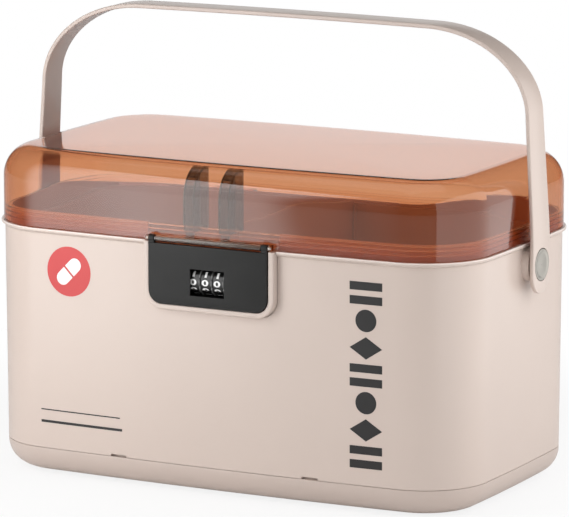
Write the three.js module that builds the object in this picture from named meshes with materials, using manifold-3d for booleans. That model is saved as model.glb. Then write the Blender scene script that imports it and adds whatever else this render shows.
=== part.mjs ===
// A medication lock box: a moulded body with bowed walls, a clear domed lid on a rear hinge,
// a three-dial lock in a clasp under the lid's front edge, a strap handle and a lift-out tray.
// Millimetres. X runs to the right, the front faces -Y, and the feet stand on z = 0.
import * as THREE from 'three';
import { mergeVertices } from 'three/addons/utils/BufferGeometryUtils.js';
import Module from 'manifold-3d';

const wasm = await Module();
wasm.setup();

// Clearance between pieces, how far joined solids run into each other,
// and how far a cutting solid runs past the face that it opens
const gap = 0.3;
const overlap = 0.2;
const beyond = 5;

// Body: overall size at the rim, over the bow of its walls
const boxWidth = 300;
const boxDepth = 170.7;
const cornerRadius = 35.5;
const sideBow = 1.9;
const frontBow = 4.1;
const rimHeight = 143;
const draft = 0.006;
const wall = 2.4;

// Rim: flange outside, lip inside the lid, ledge that carries the tray
const rimOverhang = 2.1;
const rimThickness = 1.6;
const rimEdge = 0.5;
const lipHeight = 9.6;
const lipBackHeight = 2.2;
const lipFall = 75;
const lipRiseStart = 42;
const lipRiseEnd = 88;
const lipTaper = 0.5;
const lipThickness = 1.5;
const ledgeWidth = 2;
const ledgeThickness = 2.5;
const ledgeDrop = 2;

// Base pan
const partingHeight = 17.1;
const panRounding = 14.5;
const panFloor = 2.4;
const panLipHeight = 8;
const panLipThickness = 1.6;
const snapWindowWidth = 10;
const snapWindowHeight = 1.2;
const snapWindowDepth = 16;

// Feet
const footRadius = 8;
const footStandOff = 1.5;
const footRecess = 1;
const footEdge = 0.8;
const footInsetX = 38;
const footInsetY = 35.35;

// Lid
const lidOverhang = 0.6;
const lidHeight = 43;
const lidCrown = 1;
const lidFillet = 18;
const lidWall = 2.4;
const lidStepDepth = 0.4;
const lidStepHeights = [4.2, 6.9, 9.4];
const crownRings = [0.7, 0.35];

// Clasp panel in front, hung on a pin along the lid's front edge
const panelHalfWidth = 36.8;
const panelHeight = 33.9;
const panelThickness = 2.2;
const panelCorner = 7.5;
const panelBevel = 0.6;
const windowHalfWidth = 10.65;
const windowHeight = 15;
const windowSkin = 1;
const claspPinRadius = 0.9;
const claspBarrelRadius = 2;
const claspKnuckleLength = 3.8;
const claspEarRadius = 1.6;
const claspEarThickness = 1.5;
const claspPinStandOff = 2.63;
const webHeight = 3.4;

// Lock bezel: the frame round the panel, and the pocket behind it
const bezelBorder = 3.4;
const bezelProud = 4.03;
const bezelPanelGap = 0.4;
const bezelFrameDepth = 6.8;
const bezelEdge = 1;
const pocketHalfWidth = 33;
const pocketWall = 1.8;
const pocketDepth = 16.25;

// Dials and their spindle, which is also the bolt
const dialRadius = 7.6;
const dialRingRadius = 8.1;
const dialRingNotches = 10;
const dialNotchRadius = 0.8;
const dialPitch = 7.45;
const dialDrumWidth = 6.2;
const dialRingWidth = 0.95;
const dialCount = 3;
const dialsOffset = -1.65;
const dialDrop = 20.3;
const boltRadius = 2;
const boltTravel = 5.5;
const boltCollarRadius = 3.2;
const boltCollarWidth = 1.2;
const boltTail = 1.5;
const springLength = 6.5;

// Case behind the panel that holds the dials, and its two screw tabs
const caseWall = 1.2;
const caseEndRoom = 0.45;
const caseTopRoom = 3;
const caseBottomRoom = 0.5;
const caseBackRoom = 0.4;
const caseChamfer = 5.9;
const tabRadius = 3;
const tabThickness = 1.5;
const tabStandOff = 2;
const tabInset = 4;

// Leaf spring that clicks on the dials
const leafThickness = 0.5;
const fingerHalfWidth = 2;
const fingerReach = 3.2;
const fingerKnee = 1.7;
const stripReach = 4.4;

// Staple that the bolt goes through
const stapleSpacing = 0.8;
const stapleThickness = 2;
const stapleEyeRadius = 2.5;
const stapleOuterRadius = 4.4;
const stapleBaseWidth = 13;
const stapleBaseHalfHeight = 7;
const stapleBaseThickness = 1;
const stapleScrewInset = 4.5;
const stapleScrewSpread = 3.8;

// Screws
const screwHeadRadius = 2.2;
const screwHeadHeight = 1.1;
const screwShaftRadius = 1.1;
const tabScrewLength = 3.4;

// Brackets inside the lid that stiffen the clasp's web
const bracketPairX = -3.6;
const bracketHalfPitch = 10.9;
const bracketRibSpacing = 5.8;
const bracketRibThickness = 1.3;
const bracketDepth = 16.5;
const bracketStandOff = 6.2;
const bracketPlate = 1.5;
const bracketShelf = 1.2;
const bracketCapStart = Math.PI / 4;
const bracketScrewHeadRadius = 1.8;
const bracketScrewHeadHeight = 1;
const bracketScrewRadius = 0.8;

// Rear hinges
const hingeRadius = 2.3;
const hingePinRadius = 1.1;
const hingeDrop = 2;
const hingeArmThickness = 2;
const lidKnuckleLength = 26;
const bodyKnuckleLength = 6.7;

// Strap handle
const strapThickness = 2.4;
const strapFootWidth = 22.8;
const strapTopWidth = 17.5;
const strapFootStandOff = 8.1;
const strapShoulderStandOff = 3.9;
const strapBendRise = 3;
const strapShoulderRise = 26.7;
const strapCornerWidth = 64;
const strapCornerHeight = 48.4;
const strapCrown = 0.5;
const strapFootDrop = 16.2;

// Handle pivots: pin with a wide cap outside, washer against the body's boss, nut inside
const pivotY = 5.4;
const pivotDrop = 12.2;
const pivotPinRadius = 4;
const pivotCapRadius = 9;
const pivotCapHeight = 0.9;
const pivotRecess = 0.9;
const pivotBossRadius = 10;
const washerRadius = 9;
const washerThickness = 0.7;
const nutRadius = 6;
const nutThickness = 3;

// Tray
const trayWall = 1.6;
const trayFlange = 1.6;
const trayDepth = 36;
const trayNotchHalfWidth = 44;
const trayPocketRoom = 2.6;
const dividerX = 6.6;
const dividerThickness = 1.4;
const dividerTopDrop = 0.5;
const dividerSteps = 24;
const railWidth = 1.2;
const railReach = 1.5;

// Facets
const cornerSteps = 6;
const longSideSteps = 6;
const shortSideSteps = 4;
const filletSteps = 5;
const strapCornerSteps = 10;
const strapCrownSteps = 5;
const footArcSteps = 12;
const roundSteps = 20;
const bigRoundSteps = 28;
const smallRoundSteps = 12;

// Body and lid places
const frontWall = boxDepth / 2;
const lidTop = rimHeight + lidHeight;
const snapWindowX = boxWidth / 5;
const footX = boxWidth / 2 - footInsetX;
const footY = boxDepth / 2 - footInsetY;
const lidSteps = lidStepHeights.length;
const lipOuter = lidStepDepth * lidSteps + lidWall - lidOverhang + gap;
const lipInner = lipOuter + lipThickness;
const ledgeInner = lipInner + ledgeWidth;
const lipTop = rimHeight + lipHeight;
const ledgeZ = rimHeight - ledgeDrop;
const lidBottom = rimHeight + gap;
const lidFront = frontWall + lidOverhang;
const claspY = -(lidFront + claspPinStandOff);
const claspZ = rimHeight - gap / 3 + claspBarrelRadius;
const claspBarrelHalfLength = panelHalfWidth - claspKnuckleLength;
const panelFront = claspY - claspEarRadius;
const panelBack = panelFront + panelThickness;
const panelTop = claspZ - claspBarrelRadius - gap;
const panelBottom = panelTop - panelHeight;
const bezelFront = -(frontWall + bezelProud);
const bezelBack = bezelFront + bezelFrameDepth;
const bezelHalfWidth = panelHalfWidth + bezelPanelGap + bezelBorder;
const bezelFloor = panelBottom - bezelPanelGap;
const bezelBottom = bezelFloor - bezelBorder + bezelPanelGap;
const pocketOuterY = -frontWall + pocketDepth;
const pocketBack = pocketOuterY - pocketWall;

// Hinge axis, as far behind the body as the clasp stands in front of it
const hingeY = -claspY + claspBarrelRadius - hingeRadius;
const hingeZ = rimHeight - hingeDrop;
const hingeCentreX = boxWidth / 4;

// Dial and lock case places
const dialZ = panelTop - dialDrop;
const dialY = panelFront + windowSkin + gap + dialRadius;
const dialCentres = Array.from({ length: dialCount },
  (_, i) => dialsOffset + (i - (dialCount - 1) / 2) * dialPitch);
const dialsLeft = dialCentres[0] - dialDrumWidth / 2;
const dialsRight = dialCentres.at(-1) + dialDrumWidth / 2 + dialRingWidth;
const caseRightInner = dialsRight + caseEndRoom;
const caseRight = caseRightInner + caseWall;
const collarLeft = dialsLeft - 2 * gap - boltTravel - boltCollarWidth;
const caseLeftInner = collarLeft - gap - springLength - gap;
const caseLeft = caseLeftInner - caseWall;
const caseTop = dialZ + dialRingRadius + caseTopRoom + caseWall;
const caseBottom = dialZ - dialRingRadius - caseBottomRoom - caseWall;
const caseBack = dialY + dialRingRadius + caseBackRoom + caseWall;
const caseFront = panelBack + gap;
const tabZ = caseTop + tabRadius;
const tabX = [caseLeft + tabInset, caseRight - tabInset];
const tabFront = caseFront + tabStandOff;
const tabBack = tabFront + tabThickness;

// Staple places
const stapleX = caseRight + stapleSpacing;
const stapleScrewX = stapleX + stapleBaseWidth - stapleScrewInset;
const stapleScrewZ = [dialZ - stapleScrewSpread, dialZ + stapleScrewSpread];
const stapleBaseBack = pocketBack - gap;
const stapleBaseFront = stapleBaseBack - stapleBaseThickness;

// Bracket places, behind the lid's front wall
const bracketFaceY = -(lidFront - lidWall - gap);
const bracketFootY = bracketFaceY + lidStepDepth * lidSteps;
const bracketBackY = bracketFaceY + bracketDepth;
const bracketBottom = rimHeight + bracketStandOff;
const bracketScrewZ = lidBottom + webHeight / 2 + gap;

// Handle and pivot places
const strapFootX = boxWidth / 2 + strapFootStandOff;
const strapShoulderX = boxWidth / 2 + strapShoulderStandOff;
const strapBendZ = rimHeight + strapBendRise;
const strapShoulderZ = lidTop + strapShoulderRise;
const pivotZ = rimHeight - pivotDrop;
const strapInner = strapFootX - strapThickness;
const bossX = strapInner - gap - washerThickness - gap;
const nutOuter = boxWidth / 2 - wall - bodyInset(pivotZ) - gap;

// Tray places
const trayTop = ledgeZ + gap + trayFlange;
const trayFloorZ = trayTop - trayDepth;
const trayOuter = ledgeInner + gap;
const trayNotchY = pocketOuterY + trayPocketRoom;

const footPlaces = [[-footX, -footY], [footX, -footY], [footX, footY], [-footX, footY]];
const sides = [['left', -1], ['right', 1]];

// Materials
const material = (color, roughness, metalness = 0, extra = {}) =>
  new THREE.MeshStandardMaterial({ color, roughness, metalness, ...extra });
const beige = material(0xe3d8d0, 0.42);
const baseBeige = material(0xd6c8be, 0.45);
const smokeBrown = material(0xb07a5c, 0.12, 0, { transparent: true, opacity: 0.45 });
const smokeGrey = material(0x6e625c, 0.2, 0, { transparent: true, opacity: 0.7 });
const charcoal = material(0x40403e, 0.4);
const black = material(0x151515, 0.5);
const steel = material(0xc4c4c1, 0.3, 1);
const rubber = material(0x4a4643, 0.85);
const trayBeige = material(0xd9cbc1, 0.5);

const root = new THREE.Group();

// Solids: from geometry and back, joins and cuts

function toSolid(geometry) {
  const bare = geometry.clone();
  bare.deleteAttribute('normal');
  bare.deleteAttribute('uv');
  const merged = mergeVertices(bare, 1e-4);
  return new wasm.Manifold(new wasm.Mesh({
    numProp: 3,
    vertProperties: new Float32Array(merged.attributes.position.array),
    triVerts: new Uint32Array(merged.index.array),
  }));
}

function toGeometry(solid) {
  const mesh = solid.getMesh();
  const geometry = new THREE.BufferGeometry();
  const positions = new Float32Array(mesh.numVert * 3);
  for (let i = 0; i < mesh.numVert; i++) {
    for (let k = 0; k < 3; k++) {
      positions[3 * i + k] = mesh.vertProperties[i * mesh.numProp + k];
    }
  }
  geometry.setAttribute('position', new THREE.BufferAttribute(positions, 3));
  geometry.setIndex(new THREE.BufferAttribute(new Uint32Array(mesh.triVerts), 1));
  geometry.computeVertexNormals();
  return geometry;
}

const join = (...solids) => solids.reduce((whole, solid) => whole.add(solid));
const cut = (solid, ...tools) => tools.reduce((rest, tool) => rest.subtract(tool), solid);
const sorted = (from, to) => [Math.min(from, to), Math.max(from, to)];
const alongSide = (side, [from, to]) => sorted(side * from, side * to);

function add(name, solid, look) {
  const mesh = new THREE.Mesh(toGeometry(solid), look);
  mesh.name = name;
  root.add(mesh);
}

// Plain solids, placed by their corners or their axis

function block([x0, x1], [y0, y1], [z0, z1]) {
  const geometry = new THREE.BoxGeometry(x1 - x0, y1 - y0, z1 - z0);
  geometry.translate((x0 + x1) / 2, (y0 + y1) / 2, (z0 + z1) / 2);
  return toSolid(geometry);
}

function rod(axis, [from, to], [a, b], radius, steps = roundSteps) {
  const geometry = new THREE.CylinderGeometry(radius, radius, to - from, steps);
  geometry.translate(0, (from + to) / 2, 0);
  if (axis === 'x') {
    geometry.rotateZ(-Math.PI / 2);
    geometry.translate(0, a, b);
  } else if (axis === 'y') {
    geometry.translate(a, 0, b);
  } else {
    geometry.rotateX(Math.PI / 2);
    geometry.translate(a, b, 0);
  }
  return toSolid(geometry);
}

function tube(axis, [from, to], centre, innerRadius, outerRadius) {
  const bore = rod(axis, [from - beyond, to + beyond], centre, innerRadius);
  return cut(rod(axis, [from, to], centre, outerRadius), bore);
}

// A bore along X through the whole box
function crossBore([y, z], radius, steps = roundSteps) {
  return rod('x', [-boxWidth, boxWidth], [y, z], radius, steps);
}

// A bore along Y for a screw
function screwBore(x, z, [from, to]) {
  return rod('y', [from, to], [x, z], screwShaftRadius + gap, smallRoundSteps);
}

// A screw along Y: the underside of its head lies at headY and its shaft runs on in the direction
function screw(x, z, headY, shaftLength, direction) {
  const head = rod('y', sorted(headY, headY - direction * screwHeadHeight), [x, z], screwHeadRadius);
  const shaft = rod('y', sorted(headY - direction * overlap, headY + direction * shaftLength), [x, z],
    screwShaftRadius, smallRoundSteps);
  return join(head, shaft);
}

// An outline in the XZ plane, extruded along Y
function frontShape(shape, [y0, y1], bevel = 0) {
  const geometry = new THREE.ExtrudeGeometry(shape, {
    depth: y1 - y0 - 2 * bevel,
    bevelEnabled: bevel > 0,
    bevelThickness: bevel,
    bevelSize: bevel,
    bevelOffset: -bevel,
    bevelSegments: 2,
    curveSegments: 8,
  });
  geometry.rotateX(Math.PI / 2);
  geometry.translate(0, y1 - bevel, 0);
  return toSolid(geometry);
}

// An outline in the YZ plane, extruded along X
function sideShape(points, [x0, x1]) {
  const shape = new THREE.Shape(points.map(([y, z]) => new THREE.Vector2(y, z)));
  const geometry = new THREE.ExtrudeGeometry(shape, { depth: x1 - x0, bevelEnabled: false });
  const place = new THREE.Matrix4().makeBasis(
    new THREE.Vector3(0, 1, 0), new THREE.Vector3(0, 0, 1), new THREE.Vector3(1, 0, 0));
  geometry.applyMatrix4(place);
  geometry.translate(x0, 0, 0);
  return toSolid(geometry);
}

// A turned solid from a profile of radius and height, its axis on Z
function turned(profile, steps) {
  const points = profile.map(([radius, height]) => new THREE.Vector2(radius, height));
  const geometry = new THREE.LatheGeometry(points, steps);
  geometry.rotateX(Math.PI / 2);
  return geometry;
}

const quarter = (steps) => Array.from({ length: steps + 1 }, (_, i) => i / steps * Math.PI / 2);

// The box's plan: a rounded rectangle with bowed sides, drawn in from the rim's size by inset

function plan(inset, z, scale = 1) {
  const halfWidth = boxWidth / 2 - sideBow - inset;
  const halfDepth = boxDepth / 2 - frontBow - inset;
  const radius = cornerRadius - inset;
  const flatX = halfWidth - radius;
  const flatY = halfDepth - radius;
  const corners = [[1, 1], [-1, 1], [-1, -1], [1, -1]];
  const points = [];
  corners.forEach(([sx, sy], index) => {
    const start = index * Math.PI / 2;
    quarter(cornerSteps).forEach((angle) => points.push([
      sx * flatX + radius * Math.cos(start + angle),
      sy * flatY + radius * Math.sin(start + angle)]));
    const alongX = index % 2 === 0;
    const steps = alongX ? longSideSteps : shortSideSteps;
    const [x0, y0] = points.at(-1);
    const [nextX, nextY] = corners[(index + 1) % corners.length];
    const [x1, y1] = alongX ? [nextX * flatX, y0] : [x0, nextY * flatY];
    for (let i = 1; i < steps; i++) {
      points.push([x0 + (x1 - x0) * i / steps, y0 + (y1 - y0) * i / steps]);
    }
  });
  return points.map(([x, y]) => {
    const u = x / halfWidth;
    const v = y / halfDepth;
    const bowedX = x + sideBow * (1 - v * v) * u;
    const bowedY = y + frontBow * (1 - u * u) * v;
    return new THREE.Vector3(bowedX * scale, bowedY * scale, z);
  });
}

// How far the bowed long wall lies from the centre at x, drawn in by inset
function wallY(x, inset) {
  const u = x / (boxWidth / 2 - sideBow - inset);
  return boxDepth / 2 - inset - frontBow * u * u;
}

// How far the drafted walls have come in at a height
function bodyInset(z) {
  return draft * (rimHeight - z);
}

// A closed solid through a stack of rings, closed by a centre point below and above
function loft(rings, bottomZ, topZ) {
  const count = rings[0].length;
  const positions = rings.flat().flatMap((point) => [point.x, point.y, point.z]);
  const index = bands(count, rings.length, rings.length - 1);
  const bottomCentre = positions.length / 3;
  positions.push(0, 0, bottomZ, 0, 0, topZ);
  const first = (rings.length - 1) * count;
  for (let i = 0; i < count; i++) {
    const j = (i + 1) % count;
    index.push(bottomCentre, j, i);
    index.push(bottomCentre + 1, first + i, first + j);
  }
  return ringSolid(positions, index);
}

// A closed wall: a stack of rings whose last ring joins its first
function loopedLoft(rings) {
  const positions = rings.flat().flatMap((point) => [point.x, point.y, point.z]);
  return ringSolid(positions, bands(rings[0].length, rings.length, rings.length));
}

// The triangles between neighbouring rings
function bands(count, ringCount, bandCount) {
  const index = [];
  for (let k = 0; k < bandCount; k++) {
    const lower = k * count;
    const upper = (k + 1) % ringCount * count;
    for (let i = 0; i < count; i++) {
      const j = (i + 1) % count;
      index.push(lower + i, lower + j, upper + j, lower + i, upper + j, upper + i);
    }
  }
  return index;
}

function ringSolid(positions, index) {
  const geometry = new THREE.BufferGeometry();
  geometry.setAttribute('position', new THREE.BufferAttribute(new Float32Array(positions), 3));
  geometry.setIndex(index);
  return toSolid(geometry);
}

function prism(inset, [z0, z1]) {
  return loft([plan(inset, z0), plan(inset, z1)], z0, z1);
}

// Body shell

// A plate outline that is square at the top and rounded at its two lower corners
function platePlan(half, bottom, top, radius) {
  const shape = new THREE.Shape();
  shape.moveTo(half, top);
  shape.lineTo(-half, top);
  shape.lineTo(-half, bottom + radius);
  shape.absarc(-half + radius, bottom + radius, radius, Math.PI, 1.5 * Math.PI);
  shape.lineTo(half - radius, bottom);
  shape.absarc(half - radius, bottom + radius, radius, 1.5 * Math.PI, 2 * Math.PI);
  return shape;
}

// The opening in the front wall and rim that the lock bezel fills
function bezelOpening() {
  const shape = platePlan(bezelHalfWidth + gap, bezelBottom - gap, lipTop + beyond,
    panelCorner + bezelBorder + gap);
  return frontShape(shape, [bezelFront - beyond, pocketOuterY]);
}

// The body's half of one rear hinge: a knuckle on each side of the lid's
function hingeBracket(side) {
  const near = lidKnuckleLength / 2 + gap;
  const parts = [-1, 1].flatMap((end) => {
    const from = side * hingeCentreX + end * near;
    const span = sorted(from, from + end * bodyKnuckleLength);
    const farX = Math.max(Math.abs(span[0]), Math.abs(span[1]));
    return [
      rod('x', span, [hingeY, hingeZ], hingeRadius),
      block(span, [wallY(farX, wall / 2), hingeY], [hingeZ - hingeRadius, hingeZ + hingeRadius / 2]),
    ];
  });
  return join(...parts);
}

// The notch in the flange that the lid's half of one hinge passes through
function hingeNotch(side) {
  const half = lidKnuckleLength / 2 + gap;
  return block([side * hingeCentreX - half, side * hingeCentreX + half],
    [hingeY - hingeRadius - gap, hingeY + beyond], [hingeZ - hingeRadius - gap, rimHeight + gap]);
}

// How far the lip stands over the rim: tall, but low from the middle of the left side
// along the back to the right hinge
function lipRise(x, y) {
  const back = THREE.MathUtils.smoothstep(y, 0, lipFall);
  const left = 1 - THREE.MathUtils.smoothstep(x, lipRiseStart, lipRiseEnd);
  return THREE.MathUtils.lerp(lipHeight, lipBackHeight, back * left);
}

// The lip's upper edge at an inset
function lipEdge(inset) {
  return plan(inset, rimHeight).map((point) => {
    point.z += lipRise(point.x, point.y);
    return point;
  });
}

function snapWindows(bottom) {
  const halfWidth = snapWindowWidth / 2;
  return [-1, 1].flatMap((side) => [-1, 1].map((face) => block(
    [side * snapWindowX - halfWidth, side * snapWindowX + halfWidth],
    alongSide(face, [frontWall - snapWindowDepth / 2, frontWall + snapWindowDepth / 2]),
    [bottom - beyond, bottom + snapWindowHeight])));
}

function bodyShell() {
  const bottom = partingHeight + gap / 2;
  const flangeBottom = rimHeight - rimThickness;
  const shell = loopedLoft([
    plan(bodyInset(bottom), bottom),
    plan(bodyInset(flangeBottom), flangeBottom),
    plan(-rimOverhang, flangeBottom),
    plan(-rimOverhang, rimHeight - rimEdge),
    plan(-rimOverhang + rimEdge, rimHeight),
    plan(lipOuter, rimHeight),
    lipEdge(lipOuter + lipTaper),
    lipEdge(lipInner),
    plan(lipInner, ledgeZ),
    plan(ledgeInner, ledgeZ),
    plan(ledgeInner, ledgeZ - ledgeThickness),
    plan(wall, ledgeZ - ledgeThickness),
    plan(wall + bodyInset(bottom), bottom),
  ]);
  const bosses = sides.map(([, side]) => rod('x', alongSide(side, [boxWidth / 2 - wall / 2, bossX]),
    [pivotY, pivotZ], pivotBossRadius));
  const whole = join(shell, ...bosses, hingeBracket(-1), hingeBracket(1));
  return cut(whole, bezelOpening(), crossBore([pivotY, pivotZ], pivotPinRadius + gap),
    crossBore([hingeY, hingeZ], hingePinRadius + gap), hingeNotch(-1), hingeNotch(1),
    ...snapWindows(bottom));
}

// The base pan: rounded underside, floor, and a lip that stands inside the body's wall
function basePan() {
  const top = partingHeight - gap / 2;
  const side = bodyInset(partingHeight);
  const lipFace = side + wall + gap;
  const lipBack = lipFace + panLipThickness;
  const floor = footStandOff + panFloor;
  const innerRounding = panRounding - panFloor;
  const under = quarter(filletSteps).map((angle) => plan(
    side + panRounding * (1 - Math.sin(angle)),
    footStandOff + panRounding * (1 - Math.cos(angle))));
  const inside = quarter(filletSteps).reverse().map((angle) => plan(
    lipBack + innerRounding * (1 - Math.sin(angle)),
    floor + innerRounding * (1 - Math.cos(angle))));
  const pan = loft([
    ...under,
    plan(side, top),
    plan(lipFace, top),
    plan(lipFace, top + panLipHeight),
    plan(lipBack, top + panLipHeight),
    ...inside,
  ], footStandOff, floor);
  const recesses = footPlaces.map((place) => rod('z',
    [footStandOff - beyond, footStandOff + footRecess], place, footRadius + gap));
  return cut(pan, ...recesses);
}

function foot([x, y]) {
  const top = footStandOff + footRecess - gap;
  const geometry = turned([
    [0, 0],
    [footRadius - footEdge, 0],
    [footRadius, footEdge],
    [footRadius, top],
    [0, top],
  ], roundSteps);
  geometry.translate(x, y, 0);
  return toSolid(geometry);
}

// Lock bezel: a frame that stands proud of the wall, and the pocket behind it
function lockBezel() {
  const frame = frontShape(
    platePlan(bezelHalfWidth, bezelBottom, rimHeight, panelCorner + bezelBorder),
    [bezelFront, bezelBack], bezelEdge);
  const pocketOuter = pocketHalfWidth + pocketWall;
  const pocket = block([-pocketOuter, pocketOuter], [bezelBack - bezelEdge, pocketOuterY],
    [bezelFloor - pocketWall, rimHeight]);
  const above = rimHeight + beyond;
  const recess = frontShape(
    platePlan(panelHalfWidth + bezelPanelGap, bezelFloor, above, panelCorner + bezelPanelGap),
    [bezelFront - beyond, panelBack + panelThickness]);
  const hollow = block([-pocketHalfWidth, pocketHalfWidth], [panelBack, pocketBack], [bezelFloor, above]);
  const bores = stapleScrewZ.map((z) => screwBore(stapleScrewX, z,
    [pocketBack - beyond, pocketOuterY + beyond]));
  return cut(join(frame, pocket), recess, hollow, ...bores);
}

// A dial: a drum with a notched finger ring on its right
function dial(centre) {
  const left = centre - dialDrumWidth / 2;
  const ringLeft = centre + dialDrumWidth / 2;
  const ringRight = ringLeft + dialRingWidth;
  const drum = rod('x', [left, ringLeft + overlap], [dialY, dialZ], dialRadius, bigRoundSteps);
  const ring = rod('x', [ringLeft, ringRight], [dialY, dialZ], dialRingRadius, bigRoundSteps);
  const notchReach = dialRingRadius + gap;
  const notches = Array.from({ length: dialRingNotches }, (_, i) => {
    const angle = (i + 0.5) / dialRingNotches * 2 * Math.PI;
    return rod('x', [ringLeft - overlap / 2, ringRight + beyond],
      [dialY + notchReach * Math.cos(angle), dialZ + notchReach * Math.sin(angle)], dialNotchRadius, 8);
  });
  const bore = rod('x', [left - beyond, ringRight + beyond], [dialY, dialZ], boltRadius + gap);
  return cut(join(drum, ring), bore, ...notches);
}

// Lock case: an open-fronted housing with a chamfered back edge below

function caseProfile(inset, front) {
  const slope = inset * Math.tan(Math.PI / 8);
  return [
    [front, caseBottom + inset],
    [caseBack - caseChamfer - slope, caseBottom + inset],
    [caseBack - inset, caseBottom + caseChamfer + slope],
    [caseBack - inset, caseTop - inset],
    [front, caseTop - inset],
  ];
}

function lockCase() {
  const outer = sideShape(caseProfile(0, caseFront), [caseLeft, caseRight]);
  const inner = sideShape(caseProfile(caseWall, caseFront - beyond), [caseLeftInner, caseRightInner]);
  const tabs = tabX.map((x) => join(
    block([x - tabRadius, x + tabRadius], [tabFront, tabBack], [caseTop - caseWall / 2, tabZ]),
    rod('y', [tabFront, tabBack], [x, tabZ], tabRadius)));
  const bores = tabX.map((x) => screwBore(x, tabZ, [tabFront - gap, tabBack + gap]));
  const boltBore = rod('x', [caseRightInner - gap, caseRight + beyond], [dialY, dialZ], boltRadius + gap);
  return cut(join(outer, ...tabs), inner, boltBore, ...bores);
}

// Panel: the front plate of the clasp, with the dial window, two hinge knuckles and two screw bosses
function lockPanel() {
  const plate = frontShape(platePlan(panelHalfWidth, panelBottom, panelTop, panelCorner),
    [panelFront, panelBack], panelBevel);
  const opening = block([-windowHalfWidth, windowHalfWidth], [panelFront - beyond, panelBack],
    [dialZ - windowHeight / 2, dialZ + windowHeight / 2]);
  const reliefHalf = dialRingRadius + 2 * gap;
  const relief = block([dialsLeft - 2 * gap, dialsRight + caseEndRoom],
    [panelFront + windowSkin, panelBack + beyond], [dialZ - reliefHalf, dialZ + reliefHalf]);
  const knuckles = sides.map(([, side]) => {
    const span = alongSide(side, [claspBarrelHalfLength + gap, panelHalfWidth]);
    const back = claspY + claspPinRadius;
    return join(
      rod('x', span, [claspY, claspZ], claspBarrelRadius),
      block(span, [claspY - claspEarRadius, back], [panelTop - panelBevel, claspZ]));
  });
  const bosses = tabX.map((x) => rod('y', [panelBack - overlap, tabFront - gap], [x, tabZ], tabRadius));
  const bores = tabX.map((x) => screwBore(x, tabZ, [panelBack - panelThickness / 2, tabBack]));
  return cut(join(cut(plate, relief, opening), ...knuckles, ...bosses),
    crossBore([claspY, claspZ], claspPinRadius + gap, smallRoundSteps), ...bores);
}

// The spindle that carries the dials, which slides sideways into the staple as the bolt
function lockBolt() {
  return join(
    rod('x', [caseLeftInner + boltTail, caseRight - gap], [dialY, dialZ], boltRadius),
    rod('x', [collarLeft, collarLeft + boltCollarWidth], [dialY, dialZ], boltCollarRadius));
}

function boltSpring() {
  return tube('x', [caseLeftInner + gap, collarLeft - gap], [dialY, dialZ], boltRadius + gap,
    boltCollarRadius);
}

// A leaf spring over the dials, with one bent finger that clicks on each drum
function dialDetent() {
  const top = caseTop - caseWall - gap;
  const under = top - leafThickness;
  const tip = dialZ + dialRadius + gap;
  const bend = fingerKnee - gap;
  const profile = [
    [dialY - fingerReach, top],
    [dialY - fingerReach, under],
    [dialY - fingerKnee, under],
    [dialY, tip],
    [dialY + fingerKnee, under],
    [dialY + fingerReach, under],
    [dialY + fingerReach, top],
    [dialY + bend, top],
    [dialY, tip + leafThickness + overlap],
    [dialY - bend, top],
  ];
  const fingers = dialCentres.map((x) => sideShape(profile, [x - fingerHalfWidth, x + fingerHalfWidth]));
  const strip = block([dialCentres[0] - fingerHalfWidth, dialCentres.at(-1) + fingerHalfWidth],
    [dialY - stripReach, dialY - fingerReach + 2 * overlap], [under, top]);
  return join(strip, ...fingers);
}

// Staple: a steel eye fixed at the back of the pocket, beside the case
function lockStaple() {
  const span = [stapleX, stapleX + stapleThickness];
  const base = block([stapleX, stapleX + stapleBaseWidth], [stapleBaseFront, stapleBaseBack],
    [dialZ - stapleBaseHalfHeight, dialZ + stapleBaseHalfHeight]);
  const arm = block(span, [dialY, stapleBaseBack], [dialZ - stapleOuterRadius, dialZ + stapleOuterRadius]);
  const head = rod('x', span, [dialY, dialZ], stapleOuterRadius);
  const eye = rod('x', [span[0] - beyond, span[1] + beyond], [dialY, dialZ], stapleEyeRadius);
  const bores = stapleScrewZ.map((z) => screwBore(stapleScrewX, z,
    [stapleBaseFront - gap, stapleBaseBack + gap]));
  return cut(join(base, arm, head), eye, ...bores);
}

// Lid: a clear dome with steps inside its skirt, the clasp's web in front and knuckles behind

// The rings of one dome face above its upright wall: the fillet, then the gently crowned top
function domeRings(faceInset, radius, topZ) {
  const filletStart = lidTop - lidFillet;
  const fillet = quarter(filletSteps).map((angle) => plan(
    faceInset + radius * (1 - Math.cos(angle)),
    filletStart + radius * Math.sin(angle)));
  const crown = crownRings.map((scale) => plan(
    faceInset + radius, topZ + lidCrown * (1 - scale * scale), scale));
  return [...fillet, ...crown];
}

function lidShell() {
  const innerFace = lidWall - lidOverhang;
  const below = lidBottom - gap;
  const outer = loft([plan(-lidOverhang, lidBottom), ...domeRings(-lidOverhang, lidFillet, lidTop)],
    lidBottom, lidTop + lidCrown);
  const steps = lidStepHeights.flatMap((height, index) => {
    const left = lidSteps - index;
    const z = rimHeight + height;
    return [plan(innerFace + left * lidStepDepth, z), plan(innerFace + (left - 1) * lidStepDepth, z)];
  });
  const inner = loft([
    plan(innerFace + lidSteps * lidStepDepth, below),
    ...steps,
    ...domeRings(innerFace, lidFillet - lidWall, lidTop - lidWall),
  ], below, lidTop - lidWall + lidCrown);
  return cut(outer, inner);
}

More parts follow.
